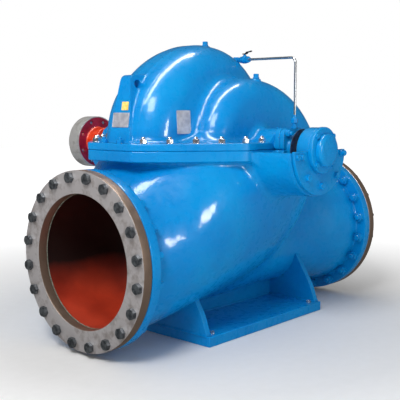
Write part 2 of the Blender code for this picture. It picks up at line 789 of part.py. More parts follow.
def direction_plate(name, surface):
    """Stands on the volute's flank at the non-drive end, clear of the flank at all four corners."""
    turn = math.radians(DIRECTION_PLATE_ANGLE)
    x = DIRECTION_PLATE_RADIUS * math.cos(turn)
    z = DIRECTION_PLATE_RADIUS * math.sin(turn)
    furthest = 0.0
    for across in (-1, 1):
        for up in (-1, 1):
            corner = Vector((x + across * DIRECTION_PLATE[0] / 2, z + up * DIRECTION_PLATE[1] / 2))
            angle = math.degrees(math.atan2(corner.y, corner.x))
            furthest = max(furthest, flank(angle, corner.length))
    return plate_on(name, DIRECTION_PLATE, Vector((x, -furthest - GAP, SHAFT_HEIGHT + z)), Vector((0, -1, 0)), surface)


def main():
    clear_scene()
    paint = material("blue_enamel_paint", PAINT_BLUE, 0.22, 0.0)
    steel = material("machined_steel", BARE_STEEL, 0.35, 1.0)
    maroon = material("maroon_paint", MAROON, 0.4, 0.0)
    black = material("black_plastic", BLACK, 0.4, 0.0)
    rubber = material("black_rubber", BLACK, 0.7, 0.0)
    fibre = material("gasket_fibre", GREY_FIBRE, 0.8, 0.0)
    aluminium = material("plate_aluminium", ALUMINIUM, 0.4, 1.0)
    surfaces = {"paint": paint, "steel": steel, "black": black}

    lower_casing(paint)
    upper_casing(paint)
    pedestal_plate("pedestal_plate", paint)
    pedestal_wall("pedestal_wall_suction", PEDESTAL_LEFT, 1, paint)
    pedestal_wall("pedestal_wall_discharge", PEDESTAL_RIGHT, -1, paint)
    pedestal_web("pedestal_web", paint)
    flange_gasket("suction_gasket", SUCTION_JOINT, -1, fibre)
    flange_gasket("discharge_gasket", DISCHARGE_JOINT, 1, fibre)
    companion_flange("suction_companion_flange", SUCTION_JOINT, -1, steel)
    companion_flange("discharge_companion_flange", DISCHARGE_JOINT, 1, steel)
    for end, side in (("non_drive_end", -1), ("drive_end", 1)):
        bearing_housing("bearing_housing_" + end, side, paint)
        bearing_cover("bearing_cover_" + end, side, paint)
        gland("gland_" + end, side, paint)
        thrower("water_thrower_" + end, side, rubber)
        flush_line(end, side, surfaces)
        face = Vector((BEARING_PLUG[0], side * (HOUSING_FLANGE_END + GAP), BEARING_PLUG[1]))
        plug("bearing_plug_" + end, face, Vector((0, side, 0)), paint)
        over = Vector((DOME_PLUG_TOP[0], side * DOME_PLUG_TOP[1], DOME_PLUG_TOP[2] + GAP))
        plug("dome_plug_" + end, over, Vector((0, 0, 1)), paint)
    end_cap("bearing_end_cap", -1, paint)
    shaft("shaft", steel)
    shaft_key("shaft_key", steel)
    coupling_half("coupling_half", maroon)
    plug("vent_plug", Vector(VENT_TOP) + Vector((0, 0, GAP)), Vector((0, 0, 1)), paint)
    rating_plate("rating_plate", aluminium)
    direction_plate("direction_plate", aluminium)


if __name__ == "__main__":
    main()
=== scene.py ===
# %% [markdown]
# # A horizontal split-case centrifugal pump
#
# The pump moves large amounts of water. Its casing is two iron castings bolted together along
# the shaft's axis, so that the top half lifts off without touching the pipes. Water comes in
# through the big flange at low x and leaves through the one at high x, on the same line.
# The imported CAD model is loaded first. It gives the places of everything, and each step below
# dresses some of its nodes with finer shapes and finishes.

import math

import bmesh
import bpy
import numpy as np
from mathutils import Matrix, Vector


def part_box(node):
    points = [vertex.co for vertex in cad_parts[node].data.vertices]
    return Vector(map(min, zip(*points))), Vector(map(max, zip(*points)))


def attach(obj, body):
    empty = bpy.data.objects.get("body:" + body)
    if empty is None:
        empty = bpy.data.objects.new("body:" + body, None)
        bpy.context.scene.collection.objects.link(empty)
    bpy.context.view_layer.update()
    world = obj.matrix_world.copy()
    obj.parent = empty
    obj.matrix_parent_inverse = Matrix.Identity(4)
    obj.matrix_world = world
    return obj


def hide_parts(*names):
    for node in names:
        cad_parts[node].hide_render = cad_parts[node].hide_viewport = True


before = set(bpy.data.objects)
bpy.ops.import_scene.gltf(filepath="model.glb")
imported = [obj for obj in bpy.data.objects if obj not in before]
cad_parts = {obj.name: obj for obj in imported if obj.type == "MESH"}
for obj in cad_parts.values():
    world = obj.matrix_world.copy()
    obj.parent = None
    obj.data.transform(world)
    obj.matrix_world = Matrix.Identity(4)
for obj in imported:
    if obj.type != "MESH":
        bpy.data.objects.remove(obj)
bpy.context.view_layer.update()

# %% [markdown]
# ## The camera
#
# The photograph was taken from about head height of a crouching person, off the non-drive end's
# suction corner. The camera's place and lens were found by fitting the two flanges' circles.
# It comes first, so that every later step can be judged in its frame.

# %% Camera
CAMERA_PLACE = Vector((-2.404, -2.14, 0.8905))
CAMERA_YAW = math.radians(42.18)
CAMERA_PITCH = math.radians(-6.58)
SENSOR_MM = 36
LENS_MM = 68.391


def add_camera():
    level = math.cos(CAMERA_PITCH)
    forward = Vector(
        (level * math.cos(CAMERA_YAW), level * math.sin(CAMERA_YAW), math.sin(CAMERA_PITCH))
    )
    data = bpy.data.cameras.new("camera")
    data.sensor_width = SENSOR_MM
    data.lens = LENS_MM
    camera = bpy.data.objects.new("camera", data)
    bpy.context.scene.collection.objects.link(camera)
    turn = forward.to_track_quat("-Z", "Y").to_matrix().to_4x4()
    camera.matrix_world = Matrix.Translation(CAMERA_PLACE) @ turn
    bpy.context.scene.camera = camera
    return forward


print("camera looks along", [round(value, 3) for value in add_camera()])

# %% [markdown]
# ## Main sizes
#
# These repeat the CAD model's sizes in metres. The shaft's axis is at z 0.75 m, and both
# nozzles are on one axis at z 0.35 m.

# %% Sizes shared by many pieces
SHAFT_HEIGHT = 0.750
NOZZLE_HEIGHT = 0.350
SUCTION_JOINT = -0.647
DISCHARGE_JOINT = 0.790
FLANGE_RADIUS = 0.335
BORE_RADIUS = 0.250
CASING_FLANGE = 0.040
STUFFING_BOX_RADIUS = 0.078
BRACKET_END = 0.557
SPLIT_OUTLINE = (
    (-0.548, 0.119),
    (-0.450, 0.225),
    (-0.235, 0.388),
    (-0.214, 0.400),
    (0.214, 0.400),
    (0.250, 0.385),
    (0.410, 0.260),
    (0.490, 0.119),
)
UPPER_FLANGE_TOP = SHAFT_HEIGHT + 0.027
LOWER_FLANGE_BOTTOM = SHAFT_HEIGHT - 0.040
SPLIT = SHAFT_HEIGHT - 0.0002
BODY = "pump_frame"
UP = (0, 0, 1)
# The shaft's two ends, and their side along y
ENDS = (("non_drive_end", -1), ("drive_end", 1))


# %% [markdown]
# ## Helpers for meshes
#
# Blender can make a mesh in many ways. Turned pieces such as flanges and caps come from a
# profile swept round an axis, flat pieces from an outline that is pulled up and bevelled, and
# bars from a round section. Each helper gives every piece its finish and the body that it rides
# on, and hides the CAD nodes that it stands for.

# %% A finished piece from points and faces
def piece(name, points, faces, surface, slot, body=BODY, stands_for=(), sharp=35):
    mesh = bpy.data.meshes.new(name)
    mesh.from_pydata([tuple(point) for point in points], [], [tuple(face) for face in faces])
    mesh.validate()
    mesh.materials.append(surface)
    mesh.shade_smooth()
    mesh.set_sharp_from_angle(angle=math.radians(sharp))
    made = bpy.data.objects.new(name, mesh)
    bpy.context.scene.collection.objects.link(made)
    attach(made, body)
    if stands_for:
        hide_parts(*stands_for)
    return made


def soften(made, width, segments=2):
    """Rounds the sharp edges, as a casting's or a painted plate's are."""
    bevel = made.modifiers.new("soft_edges", "BEVEL")
    bevel.width = width
    bevel.segments = segments
    bevel.limit_method = "ANGLE"
    bevel.angle_limit = math.radians(40)
    bevel.harden_normals = False
    return made

# %% Turned pieces
def about(axis, along, radius, turn):
    """A point at a distance along an axis, a radius from it and an angle round it."""
    across = (radius * math.cos(turn), radius * math.sin(turn))
    if axis == "X":
        return (along, across[0], across[1])
    if axis == "Y":
        return (across[0], along, across[1])
    return (across[0], across[1], along)


def rounded_profile(profile, radius, steps=3):
    """Rounds each corner of a closed profile of (along, radius) pairs."""
    corners = [Vector(corner) for corner in profile]
    result = []
    for index, corner in enumerate(corners):
        back = corners[index - 1] - corner
        onward = corners[(index + 1) % len(corners)] - corner
        reach = min(radius, 0.45 * back.length, 0.45 * onward.length)
        first = corner + back.normalized() * reach
        last = corner + onward.normalized() * reach
        for step in range(steps + 1):
            share = step / steps
            bent = first.lerp(corner, share).lerp(corner.lerp(last, share), share)
            result.append((bent.x, bent.y))
    return result


def turned_shape(axis, centre, profile, sides):
    """Points and faces of a ring: a closed profile swept round an axis."""
    points = []
    faces = []
    count = len(profile)
    for side in range(sides):
        turn = 2 * math.pi * side / sides
        for along, radius in profile:
            points.append(Vector(centre) + Vector(about(axis, along, max(radius, 0.0), turn)))
    for side in range(sides):
        following = (side + 1) % sides
        for index in range(count):
            onward = (index + 1) % count
            faces.append(
                (
                    side * count + index, side * count + onward, following * count + onward,
                    following * count + index,
                )
            )
    return points, faces


def outward(points, faces):
    """Faces that meet at an axis are merged, and all face out."""
    shape = bmesh.new()
    vertices = [shape.verts.new(point) for point in points]
    for face in faces:
        shape.faces.new([vertices[index] for index in face])
    bmesh.ops.remove_doubles(shape, verts=shape.verts[:], dist=1e-6)
    bmesh.ops.recalc_face_normals(shape, faces=shape.faces[:])
    shape.verts.index_update()
    points = [vertex.co.copy() for vertex in shape.verts]
    faces = [[vertex.index for vertex in face.verts] for face in shape.faces]
    shape.free()
    return points, faces


def sided(side, profile):
    """A profile for the end of the shaft at that side."""
    return [(side * along, radius) for along, radius in profile]


def turned(name, axis, centre, profile, surface, slot, corner=0.0015, sides=64, **rest):
    """A ring or a solid of revolution with slightly rounded edges."""
    points, faces = turned_shape(
        axis, centre, rounded_profile(profile, corner) if corner else profile, sides,
    )
    return piece(name, *outward(points, faces), surface, slot, **rest)


# %% Plates cut from an outline
def rounded_outline(outline, radius, steps):
    """An outline with its corners rounded, the radius measured along its sides."""
    return rounded_profile(outline, radius, steps)


def pulled(outline, low, high, place):
    """Points and faces of an outline pulled from one level to another."""
    count = len(outline)
    points = [place(a, b, low) for a, b in outline] + [place(a, b, high) for a, b in outline]
    faces = [tuple(range(count)), tuple(range(count, 2 * count))]
    for index in range(count):
        onward = (index + 1) % count
        faces.append((index, onward, count + onward, count + index))
    return points, faces


def flat(a, b, level):
    return Vector((a, b, level))


def facing_x(a, b, level):
    return Vector((level, a, b))


def facing_y(a, b, level):
    return Vector((a, level, b))


def plate(name, outline, low, high, surface, slot, place=flat, edge=0.0015, **rest):
    points, faces = outward(*pulled(outline, low, high, place))
    made = piece(name, points, faces, surface, slot, **rest)
    return soften(made, edge) if edge else made


def oblong(half_a, half_b, centre=(0.0, 0.0)):
    a, b = centre
    return [
        (a - half_a, b - half_b), (a + half_a, b - half_b), (a + half_a, b + half_b),
        (a - half_a, b + half_b),
    ]


# %% [markdown]
# ## Colours and helpers for nodes
#
# A finish is a small tree of nodes. Colours are written as they look on a screen, and one
# function turns them to the linear light that Blender computes with. Another adds a node, sets it
# up and links it, and five short ones after it add the kinds that come up again and again.

# %% Node helpers
def linear(hex_colour):
    values = [int(hex_colour[start : start + 2], 16) / 255 for start in (1, 3, 5)]
    light = [
        value / 12.92 if value <= 0.04045 else ((value + 0.055) / 1.055) ** 2.4 for value in values
    ]
    return (*light, 1.0)


def add(tree, kind, settings=None, inputs=None):
    """Adds a node. Settings are its properties, and inputs are values or other nodes' outputs."""
    made = tree.nodes.new(kind)
    for key, value in (settings or {}).items():
        setattr(made, key, value)
    for key, value in (inputs or {}).items():
        if isinstance(value, bpy.types.NodeSocket):
            tree.links.new(value, made.inputs[key])
        else:
            made.inputs[key].default_value = value
    return made


def new_finish(name):
    """A material with only a shader, and the place of each point in the object, in metres."""
    made = bpy.data.materials.new(name)
    made.use_nodes = True
    tree = made.node_tree
    shader = tree.nodes["Principled BSDF"]
    place = add(tree, "ShaderNodeTexCoord").outputs["Object"]
    return made, tree, shader, place


def per_metre(millimetres):
    """The scale of a pattern whose parts measure this many millimetres."""
    return 1000.0 / millimetres


def join(tree, shader, name, output):
    tree.links.new(output, shader.inputs[name])


def noise(tree, place, size_mm, detail):
    """A soft pattern whose parts measure size_mm."""
    inputs = {"Vector": place, "Scale": per_metre(size_mm), "Detail": detail}
    return add(tree, "ShaderNodeTexNoise", None, inputs).outputs["Fac"]


def spread(tree, value, low, high, to_low=0.0, to_high=1.0):
    """A value between two limits, stretched between two others."""
    inputs = {
        "Value": value, "From Min": low, "From Max": high, "To Min": to_low, "To Max": to_high,
    }
    return add(tree, "ShaderNodeMapRange", None, inputs).outputs["Result"]


def blend(tree, share, first, last):
    """A colour between two, each written as on a screen or given by another node."""
    ends = [linear(colour) if isinstance(colour, str) else colour for colour in (first, last)]
    inputs = {"Factor": share, "A": ends[0], "B": ends[1]}
    return add(tree, "ShaderNodeMix", {"data_type": "RGBA"}, inputs).outputs["Result"]


def maths(tree, operation, *values):
    return add(tree, "ShaderNodeMath", {"operation": operation}, dict(enumerate(values))).outputs[0]


def bumped(tree, height, distance, over=None):
    """The normal bent by the slope of a pattern; over is a normal that is bent already."""
    inputs = {"Height": height, "Distance": distance, "Strength": 1.0}
    if over is not None:
        inputs["Normal"] = over
    return add(tree, "ShaderNodeBump", None, inputs).outputs["Normal"]


# %% [markdown]
# ## Blue enamel on cast iron
#
# The castings are sand-cast iron, filled, and painted with a glossy alkyd enamel. The eye sees
# three things: a deep clean blue, sharp reflections with wavy edges, because the casting below
# isn't flat, and a fine unevenness from the brush and the sand. A clear coat over a rougher
# base gives the gloss, and two noises of real size bend the normal: slow waves 60 mm long and
# an orange peel 7 mm long.

# %% Blue enamel
ENAMEL_BLUE = "#0094DA"
ENAMEL_DEEP = "#0088D2"
ENAMEL_DUSTY = "#4FA8DC"
WAVE_MM = 60
PEEL_MM = 7


def blue_enamel(name, wave_height, grain_height):
    made, tree, shader, place = new_finish(name)
    patches = noise(tree, place, 180, 3.0)
    blue = blend(tree, spread(tree, patches, 0.35, 0.65), ENAMEL_DEEP, ENAMEL_BLUE)
    # Dust settles where the surface faces up
    normal = add(tree, "ShaderNodeNewGeometry").outputs["Normal"]
    upward = add(tree, "ShaderNodeSeparateXYZ", None, {"Vector": normal}).outputs["Z"]
    specks = noise(tree, place, 25, 6.0)
    dust = spread(tree, maths(tree, "MULTIPLY", upward, specks), 0.40, 0.80, 0.0, 0.16)
    join(tree, shader, "Base Color", blend(tree, dust, blue, ENAMEL_DUSTY))
    join(tree, shader, "Roughness", spread(tree, specks, 0.3, 0.7, 0.22, 0.38))
    shader.inputs["Coat Weight"].default_value = 0.45
    shader.inputs["Coat Roughness"].default_value = 0.05
    shader.inputs["Specular IOR Level"].default_value = 0.20
    slow = bumped(tree, noise(tree, place, WAVE_MM, 1.0), wave_height)
    fine = bumped(tree, noise(tree, place, PEEL_MM, 2.0), grain_height, slow)
    join(tree, shader, "Normal", fine)
    join(tree, shader, "Coat Normal", fine)
    return made


cast_enamel = blue_enamel("blue_enamel_on_cast_iron", 0.0022, 0.0002)
plate_enamel = blue_enamel("blue_enamel_on_plate", 0.0010, 0.0001)
# The finish and the slot of the castings, and of most of the smaller pieces
CAST_PAINTED = (cast_enamel, "blue_enamel_paint")
PAINTED = (plate_enamel, "blue_enamel_paint")
print("enamel finishes ready")


# %% [markdown]
# ## Finishes of the other pieces
#
# What isn't a painted casting has its own surface. Two helpers cover them. The first mixes two
# colours in patches of a real size, lets the gloss change with them and adds a fine grain, which
# suits paints, rubber, zinc and sheet metal. The second is for steel that was faced on a lathe:
# its tool leaves fine rings about the axis, the faces that were cut are light, and the rim and
# the bore, which weren't, are browner.

# %% A surface with patches, gloss changes and grain
def patchy(
    name, light, dark, patch_mm, gloss, metallic=0.0, grain_mm=2.5, grain_height=0.0001, coat=0.0,
):
    made, tree, shader, place = new_finish(name)
    patches = noise(tree, place, patch_mm, 6.0)
    join(tree, shader, "Base Color", blend(tree, spread(tree, patches, 0.36, 0.64), dark, light))
    join(tree, shader, "Roughness", spread(tree, patches, 0.3, 0.7, *gloss))
    shader.inputs["Metallic"].default_value = metallic
    shader.inputs["Coat Weight"].default_value = coat
    shader.inputs["Coat Roughness"].default_value = 0.08
    join(tree, shader, "Normal", bumped(tree, noise(tree, place, grain_mm, 3.0), grain_height))
    return made


# %% Steel faced on a lathe
RING_MM = 2.0
RING_DEPTH = 0.00006


def turned_steel(name, centre, across, face, blotch, edge, bare_from, bare_to, ring_mm=RING_MM):
    """Rings about an axis; across is 1 for the two directions that the radius is measured in."""
    made, tree, shader, place = new_finish(name)
    away = add(tree, "ShaderNodeVectorMath", {"operation": "SUBTRACT"}, {0: place, 1: centre})
    flat_part = add(
        tree, "ShaderNodeVectorMath", {"operation": "MULTIPLY"}, {0: away.outputs[0], 1: across},
    )
    length = {"operation": "LENGTH"}
    radius = add(tree, "ShaderNodeVectorMath", length, {0: flat_part.outputs[0]}).outputs["Value"]
    count = maths(tree, "MULTIPLY", radius, per_metre(ring_mm))
    inputs = {"W": count, "Scale": 1.0, "Detail": 2.0}
    rings = add(tree, "ShaderNodeTexNoise", {"noise_dimensions": "1D"}, inputs).outputs["Fac"]
    clouds = noise(tree, place, 32, 8.0)
    faced = blend(tree, spread(tree, clouds, 0.48, 0.68), face, blotch)
    # The rim and the bore, beyond the two radii of the faced ring, keep a browner skin
    outside = maths(tree, "GREATER_THAN", radius, bare_to)
    inside = maths(tree, "LESS_THAN", radius, bare_from)
    skin = maths(tree, "ADD", outside, inside)
    join(tree, shader, "Base Color", blend(tree, skin, faced, edge))
    join(tree, shader, "Roughness", spread(tree, clouds, 0.35, 0.7, 0.34, 0.58))
    shader.inputs["Metallic"].default_value = 0.6
    join(tree, shader, "Normal", bumped(tree, rings, RING_DEPTH))
    return made


# %% The finishes, named for what they are
nozzle_centre = (0.0, 0.0, NOZZLE_HEIGHT)
shaft_centre = (0.0, 0.0, SHAFT_HEIGHT)
flange_steel = turned_steel(
    "weathered_turned_flange_steel", nozzle_centre, (0, 1, 1), "#D2CDCD", "#ACA4A1", "#8C7767",
    0.2508, 0.3342
)
shaft_steel = turned_steel(
    "turned_shaft_steel", shaft_centre, (1, 0, 1), "#D8D6D2", "#A7A39C", "#B9B5AE", 0.0, 0.1205, 1.0
)
rim_steel = turned_steel(
    "turned_coupling_rim_steel", shaft_centre, (1, 0, 1), "#DAD8D5", "#B5B1AC", "#C9C7C4", 0.0,
    0.1225, 1.0
)
primer_with_painted_shade = patchy(
    "red_oxide_primer_with_painted_shade", "#C93A18", "#A82C14", 160, (0.45, 0.62), 0.0, 4.0, 0.0004,
)


def paint_shade_towards_top(made, dark, low, high):
    """Paints shade into the bore towards its top, where the real bore lies in shadow. Darkens the
    bore towards its top, which looks dark in the photograph, probably from shadow.
    """
    tree = made.node_tree
    shader = tree.nodes["Principled BSDF"]
    coloured = shader.inputs["Base Color"].links[0].from_socket
    place = add(tree, "ShaderNodeTexCoord").outputs["Object"]
    height = add(tree, "ShaderNodeSeparateXYZ", None, {"Vector": place}).outputs["Z"]
    # Painted shade: higher up in the bore the colour turns near black, along a wavy edge
    level = maths(tree, "MULTIPLY_ADD", noise(tree, place, 140, 3.0), 0.08, height)
    join(tree, shader, "Base Color", blend(tree, spread(tree, level, low, high), coloured, dark))


# Painted shade over the primer's own colour, towards the top of the bore
paint_shade_towards_top(primer_with_painted_shade, "#1E0D0B", 0.20, 0.35)
bolt_steel = patchy("black_oxide_bolt_steel", "#7A7F83", "#4B4F53", 14, (0.32, 0.5), 0.75)
bolt_zinc = patchy("bright_zinc_on_nuts", "#F4F3F1", "#C9CBCE", 10, (0.16, 0.3), 0.9)
maroon_enamel = patchy(
    "maroon_enamel_on_iron", "#A3173C", "#7E0F2B", 30, (0.28, 0.42), 0.0, 5.0, 0.0003, 0.4,
)
hub_enamel = patchy(
    "orange_red_hub_enamel", "#FF4A12", "#E03200", 30, (0.3, 0.45), 0.0, 5.0, 0.0003, 0.3,
)
stainless = patchy(
    "drawn_stainless_tube", "#C9CBCD", "#A9ACAF", 12, (0.26, 0.38), 0.9, 1.5, 0.00003,
)
sheet_aluminium = patchy(
    "rolled_aluminium_sheet", "#D9DAE2", "#BFC1CC", 18, (0.34, 0.48), 0.45, 1.5, 0.00003,
)
label_vinyl = patchy(
    "pale_yellow_vinyl_label", "#FFE48C", "#FBCB55", 12, (0.35, 0.5), 0.0, 2.0, 0.00003,
)
gasket_fibre = patchy(
    "compressed_gasket_fibre", "#9AA293", "#6C7468", 8, (0.7, 0.85), 0.0, 1.5, 0.0002,
)
thrower_rubber = patchy(
    "moulded_rubber_with_blue_overspray", "#1C3E66", "#10151D", 14, (0.55, 0.72), 0.0, 2.0, 0.0001,
)
lever_vinyl = patchy("dipped_black_vinyl", "#1C1D20", "#0C0D0F", 8, (0.28, 0.42), 0.0, 3.0, 0.0001)
print("finishes:", len(bpy.data.materials))

# %% [markdown]
# ## Fasteners
#
# A standard nut or bolt head is a hexagon whose corners are turned off to a cone of 30 degrees,
# which leaves the curved edges that catch the light. One function draws that from the width
# across flats, another draws the threaded end of a stud as fine ridges, and a third puts many
# of them into one mesh. A little random turn keeps them from lining up, as on a real joint.

# %% Nuts, bolt heads and studs
WRENCH_TURNS = np.random.default_rng(12).uniform(0, math.pi / 3, 400)
turn_count = 0


def hexagon(across, height):
    """A head or a nut that stands on level 0, with its top edge turned to a cone."""
    steps = 24
    flat_radius = across / 2
    top_radius = flat_radius * 0.94
    cone = math.tan(math.radians(30))
    turns = [2 * math.pi * step / steps for step in range(steps)]
    radii = [flat_radius / math.cos(turn % (math.pi / 3) - math.pi / 6) for turn in turns]
    points = [about("Z", 0.0, radius, turn) for radius, turn in zip(radii, turns)]
    points += [
        about("Z", height - (radius - top_radius) * cone, radius, turn) for radius, turn in zip(
            radii, turns,
        )
    ]
    points += [about("Z", height, top_radius, turn) for turn in turns]
    points += [about("Z", height - 0.0006, top_radius * 0.72, turn) for turn in turns]
    faces = [tuple(range(steps)), tuple(range(3 * steps, 4 * steps))]
    for row in range(3):
        for step in range(steps):
            onward = (step + 1) % steps
            low, high = row * steps, (row + 1) * steps
            faces.append((low + step, low + onward, high + onward, high + step))
    return outward(points, faces)


def round_shape(profile, sides=20, corner=0.0):
    """A turned shape about the vertical axis through 0."""
    smooth = rounded_profile(profile, corner, 3) if corner else profile
    return outward(*turned_shape("Z", (0, 0, 0), smooth, sides))


def rod(radius, low, high, sides, corner=0.0):
    """A plain round bar between two levels."""
    return round_shape([(low, 0.0), (low, radius), (high, radius), (high, 0.0)], sides, corner)


def stud(radius, low, high, pitch=0.003):
    """A threaded end with a chamfered tip."""
    profile = [(low, 0.0)]
    level = low
    while level < high - 2 * pitch:
        profile += [(level, radius), (level + pitch / 2, radius * 0.92)]
        level += pitch
    profile += [(level, radius), (high - 0.002, radius), (high, radius * 0.8), (high, 0.0)]
    return round_shape(profile, 16)


def washer(inner, outer, thickness):
    return round_shape(
        [(0.0, inner), (thickness, inner), (thickness, outer), (0.0, outer)], 28, 0.0005,
    )


def set_on(shape, origin, direction, roll=0.0):
    """A shape made along z, turned to a direction and moved to a point."""
    points, faces = shape
    turn = Vector(direction).to_track_quat("Z", "Y").to_matrix() @ Matrix.Rotation(roll, 3, "Z")
    return [Vector(origin) + turn @ Vector(point) for point in points], faces


def any_turn():
    global turn_count
    turn_count += 1
    return float(WRENCH_TURNS[turn_count % len(WRENCH_TURNS)])


def gathered(name, shapes, surface, slot, **rest):
    """Many shapes as one mesh."""
    points = []
    faces = []
    for some_points, some_faces in shapes:
        start = len(points)
        points += some_points
        faces += [[start + index for index in face] for face in some_faces]
    made = piece(name, points, faces, surface, slot, **rest)
    print(name, len(shapes), "shapes,", len(faces), "faces")
    return made


# %% A round bar along a path
def tube_shape(path, radius, sides=20):
    """Points and faces of a bar of round section with flat ends."""
    path = [Vector(point) for point in path]
    points = []
    faces = []
    side = None
    for index, point in enumerate(path):
        ahead = (path[min(index + 1, len(path) - 1)] - path[max(index - 1, 0)]).normalized()
        if side is None:
            side = ahead.orthogonal().normalized()
        side = (side - ahead * side.dot(ahead)).normalized()
        other = ahead.cross(side)
        for step in range(sides):
            turn = 2 * math.pi * step / sides
            points.append(point + (side * math.cos(turn) + other * math.sin(turn)) * radius)
    for row in range(len(path) - 1):
        for step in range(sides):
            onward = (step + 1) % sides
            low, high = row * sides, (row + 1) * sides
            faces.append((low + step, low + onward, high + onward, high + step))
    faces += [tuple(range(sides)), tuple(range(len(points) - sides, len(points)))]
    return outward(points, faces)


print("one M24 head has", len(hexagon(0.036, 0.015)[1]), "faces")

# %% [markdown]
# ## Cast shapes as distance fields
#
# A casting has no sharp inner corner: where two forms meet, the pattern maker runs a fillet.
# Boolean joins can't make these, and sculpting isn't repeatable. So each form is written as a
# function that gives a point's distance from its surface, negative inside. Two distances can be
# blended, which gives a fillet of a chosen size, and the surface is then drawn where the blended
# distance is zero.

# %% Blending distances
def joined(first, second, fillet):
    """The union of two forms with a fillet between them."""
    share = np.clip(0.5 + 0.5 * (second - first) / fillet, 0.0, 1.0)
    return second * (1 - share) + first * share - fillet * share * (1 - share)


def cut_away(body, tool, fillet):
    """What is left of a body, with a rounded edge where the tool cut it."""
    return -joined(-body, tool, fillet)


def kept_inside(body, limit, fillet):
    return -joined(-body, -limit, fillet)


def rounded_corner(side, top, radius):
    """Distance to a corner between a side and a top, rounded to a radius."""
    across = side + radius
    above = top + radius
    outside = np.hypot(np.maximum(across, 0.0), np.maximum(above, 0.0))
    return outside + np.minimum(np.maximum(across, above), 0.0) - radius


def smooth_table(table):
    """A function for each column of a table, curved smoothly through its rows."""
    rows = np.array(table, float)
    knots = rows[:, 0]
    dense = np.linspace(knots[0], knots[-1], 3000)
    columns = []
    for values in rows.T[1:]:
        slopes = np.gradient(values, knots)
        place = np.clip(np.searchsorted(knots, dense, side="right") - 1, 0, len(knots) - 2)
        width = knots[place + 1] - knots[place]
        t = (dense - knots[place]) / width
        start, end = values[place], values[place + 1]
        first, last = slopes[place] * width, slopes[place + 1] * width
        curve = (
            (2 * t**3 - 3 * t**2 + 1) * start
            + (t**3 - 2 * t**2 + t) * first
            + (3 * t**2 - 2 * t**3) * end
            + (t**3 - t**2) * last
        )
        columns.append(curve)
    return lambda x: [np.interp(x, dense, column) for column in columns]


# %% Drawing the surface of a distance field
def crossing_points(values, axis):
    """Where the field changes sign along the grid's edges of one axis, and how far along."""
    near = [slice(None)] * 3
    far = [slice(None)] * 3
    near[axis] = slice(None, -1)
    far[axis] = slice(1, None)
    first, last = values[tuple(near)], values[tuple(far)]
    crosses = (first < 0) != (last < 0)
    share = np.where(crosses, first / np.where(crosses, first - last, 1.0), 0.0)
    return crosses, share


def field_mesh(shape, low, high, step):
    """Points and square faces on the surface where a field is zero, by the surface nets method."""
    low = np.array(low, float)
    counts = [int(math.ceil((top - bottom) / step)) + 1 for bottom, top in zip(low, high)]
    axes = [bottom + step * np.arange(count) for bottom, count in zip(low, counts)]
    x, y, z = np.meshgrid(*axes, indexing="ij", sparse=True)
    values = np.broadcast_to(shape(x, y, z), counts).astype(np.float32)
    cells = tuple(count - 1 for count in counts)
    total = np.zeros((*cells, 3), np.float32)
    hits = np.zeros(cells, np.float32)
    quads = []
    corners = [np.arange(count) for count in cells]
    for axis in range(3):
        crosses, share = crossing_points(values, axis)
        others = [other for other in range(3) if other != axis]
        for shift_a in (0, 1):
            for shift_b in (0, 1):
                window = [slice(None)] * 3
                window[others[0]] = slice(shift_a, shift_a + cells[others[0]])
                window[others[1]] = slice(shift_b, shift_b + cells[others[1]])
                here = crosses[tuple(window)]
                hits += here
                total[..., axis] += share[tuple(window)]
                total[..., others[0]] += here * shift_a
                total[..., others[1]] += here * shift_b
        quads.append((axis, others, crosses))
    used = hits > 0
    number = np.full(cells, -1, np.int64)
    number[used] = np.arange(int(used.sum()))
    where = np.stack(np.nonzero(used), 1)
    points = low + step * (where + total[used] / hits[used][:, None])
    faces = []
    for axis, others, crosses in quads:
        inner = [slice(None)] * 3
        inner[others[0]] = slice(1, -1)
        inner[others[1]] = slice(1, -1)
        found = list(np.nonzero(crosses[tuple(inner)]))
        found[others[0]] += 1
        found[others[1]] += 1
        starts_inside = values[tuple(found)] < 0
        ring = []
        for back_a, back_b in ((0, 0), (1, 0), (1, 1), (0, 1)):
            cell = [index.copy() for index in found]
            cell[others[0]] -= back_a
            cell[others[1]] -= back_b
            ring.append(number[tuple(cell)])
        ring = np.stack(ring, 1)
        flip = starts_inside if axis == 1 else ~starts_inside
        ring[flip] = ring[flip][:, ::-1]
        faces.append(ring)
    return points, np.concatenate(faces)


def settle(shape, points, reach, rounds=4):
    """Moves points along the field's slope until they lie on its surface."""
    offset = 0.0005
    for _ in range(rounds):
        x, y, z = points.T
        value = shape(x, y, z)
        slope = np.stack(
            [
                (shape(x + offset, y, z) - shape(x - offset, y, z)),
                (shape(x, y + offset, z) - shape(x, y - offset, z)),
                (shape(x, y, z + offset) - shape(x, y, z - offset)),
            ],
            1,
        ) / (2 * offset)
        steep = np.maximum((slope**2).sum(1), 0.05)
        move = slope * (value / steep)[:, None]
        length = np.linalg.norm(move, axis=1, keepdims=True)
        points = points - move * np.minimum(1.0, reach / np.maximum(length, 1e-9))
    return points


def casting(name, shape, low, high, step, surface, slot, **rest):
    points, faces = field_mesh(shape, low, high, step)
    points = settle(shape, points, step)
    made = piece(name, points, faces, surface, slot, **rest)
    print(name, len(points), "points")
    return made

# %% [markdown]
# ## Lower casing
#
# The lower half carries both nozzles. The suction nozzle swells into a lobe that rises to both
# sides of the shaft, and the discharge nozzle runs under it and on to the far flange. Each is
# a row of oval cross-sections, curved smoothly along x. The fillet where they meet is small,
# so a soft crease runs down the side, as on the real one.

